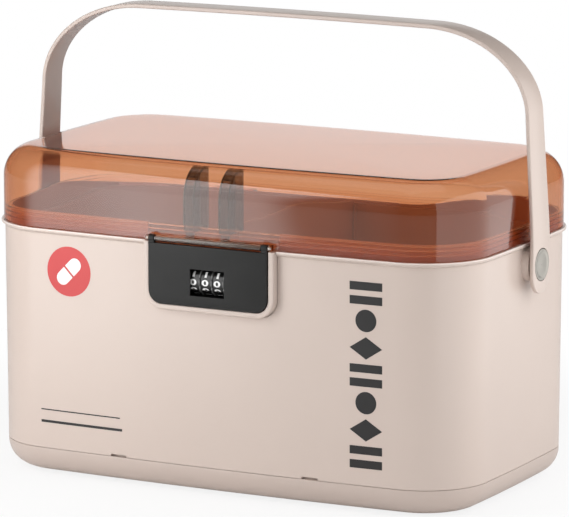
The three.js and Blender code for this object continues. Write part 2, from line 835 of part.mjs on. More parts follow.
function lid() {
  const webBack = -wallY(panelHalfWidth, lidWall - lidOverhang - gap);
  const web = block([-claspBarrelHalfLength, claspBarrelHalfLength], [claspY, webBack],
    [lidBottom, lidBottom + webHeight]);
  const barrel = rod('x', [-claspBarrelHalfLength, claspBarrelHalfLength], [claspY, claspZ],
    claspBarrelRadius);
  const ears = sides.map(([, side]) => {
    const near = panelHalfWidth + gap;
    const span = alongSide(side, [near, near + claspEarThickness]);
    return join(
      rod('x', span, [claspY, claspZ], claspEarRadius),
      block(span, [claspY, webBack], [lidBottom, claspZ + claspEarRadius]));
  });
  const knuckleRoot = wallY(hingeCentreX + lidKnuckleLength / 2, lidWall / 2 - lidOverhang);
  const knuckleHalf = lidKnuckleLength / 2;
  const armTop = lidBottom + hingeArmThickness;
  const knuckles = sides.map(([, side]) => {
    const span = [side * hingeCentreX - knuckleHalf, side * hingeCentreX + knuckleHalf];
    return join(
      rod('x', span, [hingeY, hingeZ], hingeRadius),
      block(span, [hingeY - hingeRadius, hingeY + hingeRadius], [hingeZ, armTop]),
      block(span, [knuckleRoot, hingeY], [lidBottom, armTop]));
  });
  const screwBores = sides.map(([, side]) => rod('y', [claspY + claspPinRadius + gap, 0],
    [bracketX(side), bracketScrewZ], bracketScrewRadius + gap, smallRoundSteps));
  return cut(join(lidShell(), web, barrel, ...ears, ...knuckles),
    crossBore([claspY, claspZ], claspPinRadius + gap, smallRoundSteps),
    crossBore([hingeY, hingeZ], hingePinRadius + gap, smallRoundSteps), ...screwBores);
}

// Brackets behind the clasp: two ribs each, curved to the dome, with a cap, a shelf and a foot

// The height at which the dome's inner fillet, less the gap, passes over a rib's back edge
const ribArc = lidFillet - lidWall - gap;
const ribArcY = bracketFaceY + ribArc;
const ribArcZ = lidTop - lidFillet;
const ribBackTop = ribArcZ + Math.sqrt(ribArc ** 2 - (ribArcY - bracketBackY) ** 2);

function bracketX(side) {
  return bracketPairX + side * bracketHalfPitch;
}

function ribProfile() {
  const stepsTop = rimHeight + lidStepHeights.at(-1) + gap;
  const arc = quarter(filletSteps).map((angle) => [
    ribArcY - ribArc * Math.cos(angle), ribArcZ + ribArc * Math.sin(angle)]);
  return [
    [bracketFootY, bracketBottom],
    [bracketFootY, stepsTop],
    [bracketFaceY, stepsTop],
    ...arc.filter(([y]) => y < bracketBackY),
    [bracketBackY, ribBackTop],
    [bracketBackY, bracketBottom],
  ];
}

function claspBracket(side) {
  const centre = bracketX(side);
  const ribs = [-1, 1].map((end) => {
    const x = centre + end * bracketRibSpacing / 2;
    return sideShape(ribProfile(), [x - bracketRibThickness / 2, x + bracketRibThickness / 2]);
  });
  const between = [centre - bracketRibSpacing / 2, centre + bracketRibSpacing / 2];
  const inset = bracketRibThickness / 2;
  const bend = (radius) => quarter(filletSteps).filter((angle) => angle > bracketCapStart)
    .map((angle) => [ribArcY - radius * Math.cos(angle), ribArcZ + radius * Math.sin(angle)]);
  const capRadius = ribArc - overlap;
  const cap = sideShape([...bend(capRadius), ...bend(capRadius - bracketPlate).reverse()], between);
  const shelf = block(between, [bracketFootY, bracketBackY - inset],
    [bracketBottom, bracketBottom + bracketShelf]);
  const plate = block(between, [bracketFootY, bracketFootY + bracketPlate],
    [lidBottom + gap, bracketBottom + 2 * bracketShelf]);
  const bore = rod('y', [bracketFaceY, bracketBackY], [centre, bracketScrewZ],
    bracketScrewRadius + gap, smallRoundSteps);
  return cut(join(...ribs, cap, shelf, plate), bore);
}

function bracketScrew(side) {
  const place = [bracketX(side), bracketScrewZ];
  const headY = bracketFootY + bracketPlate + gap;
  return join(
    rod('y', [headY, headY + bracketScrewHeadHeight], place, bracketScrewHeadRadius),
    rod('y', [claspY + claspBarrelRadius, headY + overlap], place, bracketScrewRadius, smallRoundSteps));
}

// Handle: a moulded strap that arches over the lid, with a flat foot at each pivot

function strapLine(offset) {
  const cornerX = strapShoulderX - strapCornerWidth;
  const cornerTop = strapShoulderZ + strapCornerHeight - offset;
  const corner = quarter(strapCornerSteps).map((angle) => [
    cornerX + (strapCornerWidth - offset) * Math.cos(angle),
    strapShoulderZ + (strapCornerHeight - offset) * Math.sin(angle)]);
  const crown = Array.from({ length: strapCrownSteps }, (_, i) => {
    const x = cornerX * (1 - (i + 1) / strapCrownSteps);
    return [x, cornerTop + strapCrown * (1 - (x / cornerX) ** 2)];
  });
  const half = [[strapFootX - offset, 0], [strapFootX - offset, strapBendZ], ...corner, ...crown];
  const otherHalf = half.slice(0, -1).reverse().map(([x, z]) => [-x, z]);
  return [...half, ...otherHalf];
}

// The strap seen from the side: narrow at the top, wide and round at the foot
function strapSide() {
  const top = strapShoulderZ + strapCornerHeight + strapCrown + beyond;
  const half = strapFootWidth / 2;
  const roundZ = pivotZ - strapFootDrop + half;
  const arc = Array.from({ length: footArcSteps + 1 }, (_, i) => {
    const angle = Math.PI + i / footArcSteps * Math.PI;
    return [pivotY + half * Math.cos(angle), roundZ + half * Math.sin(angle)];
  });
  return [
    [pivotY + strapTopWidth / 2, top],
    [pivotY - strapTopWidth / 2, top],
    [pivotY - half, pivotZ],
    ...arc,
    [pivotY + half, pivotZ],
  ];
}

function handleStrap() {
  const line = [...strapLine(0), ...strapLine(strapThickness).reverse()];
  const shape = new THREE.Shape(line.map(([x, z]) => new THREE.Vector2(x, z)));
  const band = frontShape(shape, [pivotY - strapFootWidth, pivotY + strapFootWidth]);
  const sideOutline = sideShape(strapSide(), [-boxWidth, boxWidth]);
  const recesses = sides.map(([, side]) => rod('x',
    alongSide(side, [strapFootX - pivotRecess, strapFootX + beyond]),
    [pivotY, pivotZ], pivotCapRadius + gap, bigRoundSteps));
  return cut(band.intersect(sideOutline), crossBore([pivotY, pivotZ], pivotPinRadius + gap), ...recesses);
}

function pivotPin(side) {
  const capBack = strapFootX - pivotRecess + gap;
  const inner = nutOuter - nutThickness - overlap;
  const shaft = rod('x', alongSide(side, [inner, capBack + overlap]), [pivotY, pivotZ], pivotPinRadius);
  const cap = turned([
    [0, 0],
    [pivotCapRadius, 0],
    [pivotCapRadius, pivotCapHeight * 0.45],
    [pivotCapRadius * 0.93, pivotCapHeight * 0.75],
    [0, pivotCapHeight],
  ], bigRoundSteps);
  cap.rotateY(side * Math.PI / 2);
  cap.translate(side * capBack, pivotY, pivotZ);
  return join(toSolid(cap), shaft);
}

function pivotWasher(side) {
  return tube('x', alongSide(side, [bossX + gap, bossX + gap + washerThickness]), [pivotY, pivotZ],
    pivotPinRadius + gap, washerRadius);
}

function pivotNut(side) {
  return tube('x', alongSide(side, [nutOuter - nutThickness, nutOuter]), [pivotY, pivotZ],
    pivotPinRadius + gap, nutRadius);
}

// Tray: hangs on the body's ledge, notched round the lock pocket

function trayNotch(margin) {
  const half = trayNotchHalfWidth + margin;
  return block([-half, half], [-boxDepth, trayNotchY + margin],
    [trayFloorZ - beyond, trayTop + 2 * beyond]);
}

function liftTray() {
  const flange = prism(lipInner + gap, [trayTop - trayFlange, trayTop]);
  const tub = prism(trayOuter, [trayFloorZ, trayTop - trayFlange / 2]);
  const hollow = prism(trayOuter + trayWall, [trayFloorZ + trayWall, trayTop + beyond]);
  const inside = cut(hollow, trayNotch(trayWall));
  const railZ = [trayFloorZ + trayWall / 2, trayTop - trayFlange];
  const front = trayNotchY + trayWall;
  const back = wallY(dividerX, trayOuter + trayWall);
  const rails = [-1, 1].flatMap((side) => {
    const slot = dividerX + side * (dividerThickness / 2 + gap);
    const span = sorted(slot, slot + side * railWidth);
    return [
      block(span, [front - trayWall / 2, front + railReach], railZ),
      block(span, [back - railReach, back + trayWall / 2], railZ),
    ];
  });
  return join(cut(join(flange, tub), trayNotch(0), inside), ...rails);
}

function trayDivider() {
  const back = wallY(Math.abs(dividerX) + dividerThickness, trayOuter + trayWall);
  const span = [trayNotchY + trayWall + gap, back - gap];
  const bottom = trayFloorZ + trayWall + gap;
  const top = Array.from({ length: dividerSteps + 1 }, (_, i) => {
    const y = THREE.MathUtils.lerp(span[0], span[1], i / dividerSteps);
    return [y, rimHeight + lipRise(dividerX, y) - dividerTopDrop];
  });
  return sideShape([[span[0], bottom], ...top, [span[1], bottom]],
    [dividerX - dividerThickness / 2, dividerX + dividerThickness / 2]);
}

// Pins

function hingePin(side) {
  const half = lidKnuckleLength / 2 + bodyKnuckleLength;
  return rod('x', [side * hingeCentreX - half, side * hingeCentreX + half], [hingeY, hingeZ],
    hingePinRadius, smallRoundSteps);
}

function claspPin() {
  const half = panelHalfWidth + gap + claspEarThickness + gap;
  return rod('x', [-half, half], [claspY, claspZ], claspPinRadius, smallRoundSteps);
}

// Assembly: the box
add('body_shell', bodyShell(), beige);
add('base_pan', basePan(), baseBeige);
footPlaces.forEach((place, index) => add(`foot_${index + 1}`, foot(place), rubber));
add('lock_bezel', lockBezel(), beige);
add('lock_staple', lockStaple(), steel);
stapleScrewZ.forEach((z, index) => add(`staple_screw_${index + 1}`,
  screw(stapleScrewX, z, stapleBaseFront - gap, pocketOuterY - stapleBaseFront, 1), steel));
sides.forEach(([name, side]) => {
  add(`hinge_pin_${name}`, hingePin(side), steel);
  add(`handle_pin_${name}`, pivotPin(side), steel);
  add(`handle_washer_${name}`, pivotWasher(side), steel);
  add(`handle_nut_${name}`, pivotNut(side), steel);
});

// Assembly: the handle
add('handle_strap', handleStrap(), beige);

// Assembly: the lid
add('lid', lid(), smokeBrown);
sides.forEach(([name, side]) => {
  add(`clasp_bracket_${name}`, claspBracket(side), smokeGrey);
  add(`bracket_screw_${name}`, bracketScrew(side), steel);
});
add('clasp_pin', claspPin(), steel);

// Assembly: the clasp and its lock
add('lock_panel', lockPanel(), charcoal);
add('lock_case', lockCase(), black);
tabX.forEach((x, index) => add(`case_screw_${index + 1}`,
  screw(x, tabZ, tabBack + gap, tabScrewLength, -1), steel));
add('dial_detent', dialDetent(), steel);
add('bolt_spring', boltSpring(), steel);
dialCentres.forEach((centre, index) => add(`number_dial_${index + 1}`, dial(centre), black));
add('lock_bolt', lockBolt(), steel);

// Assembly: the tray
add('lift_tray', liftTray(), trayBeige);
add('tray_divider', trayDivider(), trayBeige);

export default root;
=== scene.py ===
import math

import bmesh
import bpy
from mathutils import Matrix, Vector

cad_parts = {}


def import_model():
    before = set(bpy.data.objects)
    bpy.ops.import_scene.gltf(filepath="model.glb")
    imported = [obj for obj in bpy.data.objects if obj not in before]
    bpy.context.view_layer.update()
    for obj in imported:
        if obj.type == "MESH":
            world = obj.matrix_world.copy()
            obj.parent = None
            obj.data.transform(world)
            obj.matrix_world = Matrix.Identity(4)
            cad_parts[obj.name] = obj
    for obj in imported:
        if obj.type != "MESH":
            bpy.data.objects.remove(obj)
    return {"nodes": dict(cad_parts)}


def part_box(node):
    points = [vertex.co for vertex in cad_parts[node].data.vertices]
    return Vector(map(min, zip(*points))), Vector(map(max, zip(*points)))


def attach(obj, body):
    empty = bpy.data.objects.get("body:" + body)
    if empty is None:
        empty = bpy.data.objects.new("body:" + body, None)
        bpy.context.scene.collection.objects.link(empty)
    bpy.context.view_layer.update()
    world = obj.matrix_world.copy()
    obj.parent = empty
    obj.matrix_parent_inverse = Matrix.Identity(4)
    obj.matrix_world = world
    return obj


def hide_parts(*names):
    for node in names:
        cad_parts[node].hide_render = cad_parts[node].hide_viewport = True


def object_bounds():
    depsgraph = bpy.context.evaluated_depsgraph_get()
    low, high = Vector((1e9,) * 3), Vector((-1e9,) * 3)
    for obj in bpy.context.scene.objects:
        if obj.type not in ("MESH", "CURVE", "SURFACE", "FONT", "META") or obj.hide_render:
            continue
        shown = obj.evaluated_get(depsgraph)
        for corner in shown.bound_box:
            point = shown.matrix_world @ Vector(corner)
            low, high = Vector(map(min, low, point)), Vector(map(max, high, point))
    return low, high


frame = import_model()
cad_low, cad_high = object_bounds()

MM = 0.001
GAP = 0.3
OVERLAP = 0.2
LAP = 1
# How far a cutting tool reaches past what it cuts
BEYOND = 5
# The radius that closes the end of a turned piece
CLOSED = 0.01
EDGE = 0.3
FINE_EDGE = 0.2
MERGE_DISTANCE = 0.002
SHARP_ANGLE = 32
SIDES = (-1, 1)


def node(name):
    """Lowest and highest corner of a node, in millimetres."""
    low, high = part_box(name)
    return low / MM, high / MM


def middle(name, axes="yz"):
    """The middle of a node along some axes, in millimetres."""
    low, high = node(name)
    return tuple((getattr(low, axis) + getattr(high, axis)) / 2 for axis in axes)


# Places taken from the solids
shell_low, shell_high = node("body_shell")
pan_low, pan_high = node("base_pan")
lid_high = node("lid")[1]
bezel_low, bezel_high = node("lock_bezel")
panel_low, panel_high = node("lock_panel")
tray_low, tray_high = node("lift_tray")
strap_low, strap_high = node("handle_strap")
cap_low, cap_high = node("handle_pin_right")
hinge_low, hinge_high = node("hinge_pin_right")
clasp_low, clasp_high = node("clasp_pin")

# The box's plan and walls
BOX_WIDTH = 300
BOX_DEPTH = 170.7
CORNER = 35.5
SIDE_BOW = 1.9
FRONT_BOW = 4.1
DRAFT = 0.006
WALL = 2.4
RIM_OVERHANG = 2.1
RIM_THICKNESS = 1.6
RIM_BEAD = 0.6
RIM_BEAD_RISE = 0.25
LIP_THICKNESS = 1.5
LIP_HEIGHT = 9.6
LIP_BACK_HEIGHT = 2.2
LIP_FALL = 75
LIP_RISE = (42, 88)
LIP_TAPER = 0.5
LEDGE_WIDTH = 2
LEDGE_THICKNESS = 2.5
LEDGE_DROP = 2
PAN_ROUNDING = 14.5
PAN_FLOOR = 2.4
PAN_LIP_THICKNESS = 1.6
PAN_LIP_HEIGHT = 8
LID_OVERHANG = 0.6
LID_FILLET = 18
LID_WALL = 2.4
LID_CROWN = 1
LID_STEP = 0.4
LID_STEP_HEIGHTS = (4.2, 6.9, 9.4)
LID_BEAD = 0.4

RIM = shell_high.z - LIP_HEIGHT
LID_BOTTOM = RIM + GAP
LID_TOP = lid_high.z - LID_CROWN
SHELL_BOTTOM = shell_low.z
PAN_BOTTOM = pan_low.z
LIP_OUTER = LID_STEP * len(LID_STEP_HEIGHTS) + LID_WALL - LID_OVERHANG + GAP
LIP_INNER = LIP_OUTER + LIP_THICKNESS
LEDGE_INNER = LIP_INNER + LEDGE_WIDTH
LEDGE = RIM - LEDGE_DROP

# How finely the smooth pieces are drawn
CORNER_STEPS = 18
LONG_STEPS = 26
SHORT_STEPS = 12
FILLET_STEPS = 14
ROUND_STEPS = 64
MEDIUM_STEPS = 40
SMALL_STEPS = 24


# Mesh building

def mesh_object(name, points, faces):
    """An object out of points in millimetres and faces."""
    mesh = bpy.data.meshes.new(name)
    mesh.from_pydata([(x * MM, y * MM, z * MM) for x, y, z in points], [], faces)
    return link(name, mesh)


def link(name, data):
    obj = bpy.data.objects.new(name, data)
    bpy.context.collection.objects.link(obj)
    return obj


def piece(name, points, faces):
    obj = mesh_object(name, points, faces)
    outward(obj.data)
    return obj


def outward(mesh):
    work = bmesh.new()
    work.from_mesh(mesh)
    bmesh.ops.remove_doubles(work, verts=work.verts, dist=MERGE_DISTANCE * MM)
    bmesh.ops.recalc_face_normals(work, faces=work.faces)
    work.to_mesh(mesh)
    work.free()


def smooth(obj, angle):
    mesh = obj.data
    mesh.polygons.foreach_set("use_smooth", [True] * len(mesh.polygons))
    mesh.set_sharp_from_angle(angle=math.radians(angle))
    mesh.update()


def shape_by(obj, tools, operation):
    """Joins or cuts obj with the tools, which are used up."""
    for tool in tools:
        modifier = obj.modifiers.new("shape", "BOOLEAN")
        modifier.operation = operation
        modifier.solver = "EXACT"
        modifier.object = tool
        bpy.context.view_layer.update()
        graph = bpy.context.evaluated_depsgraph_get()
        result = bpy.data.meshes.new_from_object(obj.evaluated_get(graph))
        obj.modifiers.clear()
        old = obj.data
        obj.data = result
        bpy.data.meshes.remove(old)
        bpy.data.objects.remove(tool)
    return obj


def cut(obj, *tools):
    return shape_by(obj, tools, "DIFFERENCE")


def weld(obj, *tools):
    return shape_by(obj, tools, "UNION")


def gather(name, objs):
    """One object out of several, each kept as it is."""
    work = bmesh.new()
    for obj in objs:
        work.from_mesh(obj.data)
    mesh = bpy.data.meshes.new(name)
    work.to_mesh(mesh)
    work.free()
    for obj in objs:
        bpy.data.objects.remove(obj)
    return link(name, mesh)


def stack(name, rings, loops=False, low_centre=None, high_centre=None):
    """A surface through rings of equal length, closed by flat ends, centre points or by looping."""
    count = len(rings[0])
    points = [point for ring in rings for point in ring]
    bands = len(rings) if loops else len(rings) - 1
    faces = []
    for k in range(bands):
        lower = k * count
        upper = (k + 1) % len(rings) * count
        for i in range(count):
            j = (i + 1) % count
            faces.append((lower + i, lower + j, upper + j, upper + i))
    if not loops:
        last = (len(rings) - 1) * count
        for first, centre in ((0, low_centre), (last, high_centre)):
            if centre is None:
                faces.append(tuple(range(first, first + count)))
            else:
                points.append(centre)
                faces += [(first + i, first + (i + 1) % count, len(points) - 1) for i in range(count)]
    return piece(name, points, faces)


def marks(start, end, steps):
    """The places that divide the way from start to end into equal steps, with both ends."""
    return [start + (end - start) * k / steps for k in range(steps + 1)]


def between(start, end, steps):
    """The same places without the two ends."""
    return marks(start, end, steps)[1:-1]


def arc(start, end, steps):
    """Angles in degrees from start to end, in radians."""
    return [math.radians(angle) for angle in marks(start, end, steps)]


def rounding(edge, steps=4):
    """Steps round a quarter edge, as pairs of (drawn in, along): from wholly drawn in to not at all."""
    return [(edge * (1 - math.sin(a)), edge * (1 - math.cos(a))) for a in arc(0, 90, steps)]


def rounded_ends(start, end, edge):
    """Pairs of (drawn in, place) along a piece that is rounded at both ends."""
    near = [(inset, start + along) for inset, along in rounding(edge)]
    return near + [(inset, start + end - place) for inset, place in reversed(near)]


def block(name, x, y, z, edge=0.0):
    """A block between its faces, with rounded edges if an edge radius is given."""
    low = Vector((min(x), min(y), min(z)))
    high = Vector((max(x), max(y), max(z)))
    corners = [(low[0], high[0]), (low[1], high[1]), (low[2], high[2])]
    points = [(a, b, c) for a in corners[0] for b in corners[1] for c in corners[2]]
    faces = [(0, 1, 3, 2), (4, 6, 7, 5), (0, 4, 5, 1), (2, 3, 7, 6), (0, 2, 6, 4), (1, 5, 7, 3)]
    obj = piece(name, points, faces)
    if edge:
        work = bmesh.new()
        work.from_mesh(obj.data)
        bmesh.ops.bevel(work, geom=work.edges, offset=edge * MM, segments=3, affect="EDGES", profile=0.5)
        work.to_mesh(obj.data)
        work.free()
    return obj


AXES = {
    "x": lambda along, a, b: (along, a, b),
    "y": lambda along, a, b: (a, along, b),
    "z": lambda along, a, b: (a, b, along),
}


def turned(name, axis, centre, profile, steps=ROUND_STEPS):
    """A turned piece: profile is (place along the axis, radius)."""
    place = AXES[axis]
    turns = [2 * math.pi * i / steps for i in range(steps)]
    return stack(name, [[place(along, centre[0] + radius * math.cos(a), centre[1] + radius * math.sin(a))
                         for a in turns] for along, radius in profile])


def rod(name, axis, centre, span, radius, edge=0.0, steps=ROUND_STEPS):
    start, end = min(span), max(span)
    if not edge:
        return turned(name, axis, centre, [(start, radius), (end, radius)], steps)
    profile = [(place, radius - inset) for inset, place in rounded_ends(start, end, edge)]
    return turned(name, axis, centre, profile, steps)


def cross_bore(centre, radius, steps=SMALL_STEPS):
    """A bore along x, right through the box."""
    return rod("bore", "x", centre, (-BOX_WIDTH, BOX_WIDTH), radius, steps=steps)


# The box's plan

def plan(inset, z, scale=1.0):
    """A ring round the box: a rounded rectangle with bowed sides, drawn in by inset."""
    half_x = BOX_WIDTH / 2 - SIDE_BOW - inset
    half_y = BOX_DEPTH / 2 - FRONT_BOW - inset
    radius = CORNER - inset
    flat_x, flat_y = half_x - radius, half_y - radius
    corners = ((1, 1), (-1, 1), (-1, -1), (1, -1))
    points = []
    for index, (sx, sy) in enumerate(corners):
        for angle in arc(90 * index, 90 * index + 90, CORNER_STEPS):
            points.append((sx * flat_x + radius * math.cos(angle), sy * flat_y + radius * math.sin(angle)))
        along_x = index % 2 == 0
        steps = LONG_STEPS if along_x else SHORT_STEPS
        x0, y0 = points[-1]
        next_x, next_y = corners[(index + 1) % 4]
        x1, y1 = (next_x * flat_x, y0) if along_x else (x0, next_y * flat_y)
        points += zip(between(x0, x1, steps), between(y0, y1, steps))
    ring = []
    for x, y in points:
        u, v = x / half_x, y / half_y
        bowed_x = x + SIDE_BOW * (1 - v * v) * u
        bowed_y = y + FRONT_BOW * (1 - u * u) * v
        ring.append((bowed_x * scale, bowed_y * scale, z))
    return ring


def wall_y(x, inset):
    """How far the bowed long wall lies from the middle at x, drawn in by inset."""
    u = x / (BOX_WIDTH / 2 - SIDE_BOW - inset)
    return BOX_DEPTH / 2 - inset - FRONT_BOW * u * u


def body_inset(z):
    return DRAFT * (RIM - z)


def rounded(inset, z, edge, start, end, steps=4):
    """Rings round a rounded edge: its centre lies at inset and z, angle 0 points outwards and 90 up."""
    return [plan(inset - edge * math.cos(a), z + edge * math.sin(a)) for a in arc(start, end, steps)]


def smoothstep(value, start, end):
    t = min(1.0, max(0.0, (value - start) / (end - start)))
    return t * t * (3 - 2 * t)


def lip_rise(x, y):
    """Height of the lip over the rim, low from the left side's middle along the back to the right hinge."""
    low = smoothstep(y, 0, LIP_FALL) * (1 - smoothstep(x, *LIP_RISE))
    return LIP_HEIGHT - (LIP_HEIGHT - LIP_BACK_HEIGHT) * low


def lip_edge(rings):
    """Lifts rings from the rim to the lip's upper edge."""
    return [[(x, y, z + lip_rise(x, y)) for x, y, z in ring] for ring in rings]


# Materials

WHITE = (1, 1, 1, 1)
# How fine the noises are: shade, flecks of gloss, streaks in metal, flecks and waves in clear plastic
DRIFT_SCALE = 22
FLECK_SCALE = 500
STREAK_SCALE = 900
CLEAR_FLECK_SCALE = 90
WAVE_SCALE = 35
# The part of a noise's range that holds nearly all its values
NOISE_RANGE = (0.3, 0.7)
# What a clear wall lets through of the light that falls on things behind it
LIGHT_THROUGH = (0.84, 0.67, 0.55, 1)


def new_material(name):
    material = bpy.data.materials.new(name)
    material.use_nodes = True
    return material, material.node_tree, material.node_tree.nodes["Principled BSDF"]


def feed(tree, target, inputs):
    """Gives each input of a shader node its value, or the output of another node."""
    for name, value in inputs.items():
        if isinstance(value, bpy.types.NodeSocket):
            tree.links.new(value, target.inputs[name])
        else:
            target.inputs[name].default_value = value


def add(tree, kind, inputs=None, output=0, **settings):
    """A new shader node, fed with the inputs. Returns one of its outputs."""
    made = tree.nodes.new("ShaderNode" + kind)
    for name, value in settings.items():
        setattr(made, name, value)
    feed(tree, made, inputs or {})
    return made.outputs[output]


def noise(tree, scale, detail=2.0, stretch=(1, 1, 1)):
    place = add(tree, "Mapping", {"Vector": add(tree, "TexCoord", output="Object"), "Scale": stretch})
    return add(tree, "TexNoise", {"Vector": place, "Scale": scale, "Detail": detail}, "Fac")


def remap(tree, value, start, end, interpolation="LINEAR"):
    """Maps a value from the range start to the range end."""
    ranges = zip(("From Min", "From Max", "To Min", "To Max"), (*start, *end))
    return add(tree, "MapRange", {"Value": value, **dict(ranges)}, interpolation_type=interpolation)


def spread(tree, value, low, high):
    """Maps a noise to the range from low to high."""
    return remap(tree, value, NOISE_RANGE, (low, high))


def ramp(tree, value, stops, interpolation="LINEAR"):
    """A colour that follows a value; each stop is a place and its colour."""
    made = tree.nodes.new("ShaderNodeValToRGB")
    made.color_ramp.interpolation = interpolation
    elements = made.color_ramp.elements
    while len(elements) < len(stops):
        elements.new(0.5)
    for element, (place, color) in zip(elements, sorted(stops)):
        element.position = place
        element.color = (*color, 1)
    feed(tree, made, {"Fac": value})
    return made.outputs["Color"]


def tint(tree, value, color, lighter, darker):
    """A colour that wanders between a darker and a lighter shade of itself."""
    return ramp(tree, value, [(place, [min(1, c * share) for c in color])
                              for place, share in zip(NOISE_RANGE, (darker, lighter))])


def bump(tree, value, depth, strength):
    return add(tree, "Bump", {"Height": value, "Strength": strength, "Distance": depth * MM})


def either_ray(tree, first, second):
    """One for rays of either kind, zero for others."""
    kinds = {0: add(tree, "LightPath", output=first), 1: add(tree, "LightPath", output=second)}
    return add(tree, "Math", kinds, operation="MAXIMUM")


def mixed(tree, share, first, second):
    """A mix of two shaders, with this share of the second."""
    return add(tree, "MixShader", {"Fac": share, 1: first, 2: second})


def moulded(name, color, rough, grain, depth, strength=0.4, coat=0.0, wander=0.03, specular=0.5):
    """Moulded plastic: a slight drift of shade, fine flecks of gloss and a fine surface grain."""
    material, tree, shader = new_material(name)
    feed(tree, shader, {
        "Base Color": tint(tree, noise(tree, DRIFT_SCALE, 3), color, 1 + wander, 1 - wander),
        "Roughness": spread(tree, noise(tree, FLECK_SCALE), rough * 0.93, rough * 1.07),
        "Normal": bump(tree, noise(tree, grain), depth, strength),
        "Specular IOR Level": specular,
        "Coat Weight": coat,
        "Coat Roughness": 0.12,
    })
    return material


def metal(name, color, rough, stretch):
    """Drawn or turned metal: fine streaks in its gloss and surface."""
    material, tree, shader = new_material(name)
    streaks = noise(tree, STREAK_SCALE, stretch=stretch)
    feed(tree, shader, {
        "Base Color": tint(tree, streaks, color, 1.05, 0.93),
        "Roughness": spread(tree, streaks, rough * 0.8, rough * 1.25),
        "Normal": bump(tree, streaks, 0.01, 0.3),
        "Metallic": 1,
    })
    return material


def clear(name, depth_color, density, rough=0.03, ior=1.58):
    """Clear tinted plastic: it bends light, darkens with depth and lets light through to what it covers."""
    material, tree, shader = new_material(name)
    feed(tree, shader, {
        "Base Color": WHITE,
        "Roughness": spread(tree, noise(tree, CLEAR_FLECK_SCALE), rough * 0.6, rough * 1.4),
        "Normal": bump(tree, noise(tree, WAVE_SCALE, 1), 0.05, 0.05),
        "IOR": ior,
        "Transmission Weight": 1,
    })
    through = add(tree, "BsdfTransparent", {"Color": LIGHT_THROUGH})
    passing = either_ray(tree, "Is Shadow Ray", "Is Diffuse Ray")
    feed(tree, tree.nodes["Material Output"], {
        "Surface": mixed(tree, passing, shader.outputs["BSDF"], through),
        "Volume": add(tree, "VolumeAbsorption", {"Color": (*depth_color, 1), "Density": density}),
    })
    return material


beige = moulded("beige_plastic", (0.60, 0.50, 0.445), 0.32, 1500, 0.01, strength=0.2, coat=0.1, wander=0.008,
                specular=0.4)
# A paler, glossier beige on the rim's bead: a painted highlight along the rim's upper edge
rim_highlight_beige = moulded("rim_painted_highlight", (0.86, 0.76, 0.7), 0.25, 1500, 0.01, strength=0.2, coat=0.3, wander=0.008)
base_beige = moulded("base_plastic", (0.55, 0.455, 0.405), 0.34, 1500, 0.01, strength=0.2, coat=0.1,
                     wander=0.01)
inner_beige = moulded("tray_plastic", (0.57, 0.475, 0.42), 0.42, 1800, 0.02, strength=0.3, wander=0.01)
charcoal = moulded("charcoal_plastic", (0.019, 0.019, 0.0185), 0.45, 2600, 0.05, strength=0.5, wander=0.08,
                   specular=0.2)
# Black: the lock case's own colour, and painted shade on the clasp panel's edges for the dark gap round it
black = moulded("black_plastic_and_gap_shade", (0.012, 0.012, 0.012), 0.45, 2400, 0.04, strength=0.5, wander=0.15)
dial_black = moulded("dial_plastic", (0.006, 0.006, 0.006), 0.3, 1800, 0.02, strength=0.3, wander=0.15)
# A dark grey for the dials' finger rings, lighter than the drums: a painted highlight for the arcs of light
# on them
ring_highlight_grey = moulded("ring_painted_highlight", (0.10, 0.10, 0.098), 0.28, 1800, 0.02, strength=0.3, wander=0.1)
rubber = moulded("foot_rubber", (0.05, 0.045, 0.042), 0.75, 1500, 0.08, strength=0.6, wander=0.15)
white_ink = moulded("white_ink", (0.85, 0.85, 0.84), 0.5, 2600, 0.01, strength=0.2, wander=0.02)
black_ink = moulded("black_ink", (0.012, 0.011, 0.011), 0.4, 2600, 0.01, strength=0.2, wander=0.1)
red_ink = moulded("red_ink", (0.56, 0.035, 0.035), 0.4, 2600, 0.01, strength=0.2, wander=0.05)
cap_metal = metal("pivot_metal", (0.38, 0.36, 0.325), 0.32, (1, 0.08, 1))
# A dark metal for the clasp pin's middle: painted shade where the lid's barrel covers it
pin_shade_steel = metal("pin_painted_shade", (0.07, 0.05, 0.04), 0.3, (0.06, 1, 1))
steel = metal("plated_steel", (0.62, 0.62, 0.60), 0.25, (0.06, 1, 1))
smoke = clear("smoke_brown_plastic", (0.82, 0.42, 0.07), 400)
grey_smoke = clear("smoke_grey_plastic", (0.36, 0.28, 0.23), 1500, 0.05, 1.4)


def dress(obj, body, slot, material, *nodes, angle=SHARP_ANGLE):
    """Gives a piece its finish and its body, and hides the solids that it stands for."""
    obj.data.materials.clear()
    obj.data.materials.append(material)
    smooth(obj, angle)
    if nodes:
        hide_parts(*nodes)
    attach(obj, body)
    return obj


def second_finish(obj, material, chosen):
    """A second material for the faces that chosen picks by their middle, in millimetres, and their normal."""
    obj.data.materials.append(material)
    for face in obj.data.polygons:
        if chosen(face.center / MM, face.normal):
            face.material_index = 1


def refinish(name, material):
    """A solid whose shape is right keeps it and takes the material."""
    mesh = frame["nodes"][name].data
    mesh.materials.clear()
    mesh.materials.append(material)


# Body shell: drafted walls, a rounded flange, the lip and ledge inside, hinge cheeks and pivot bosses

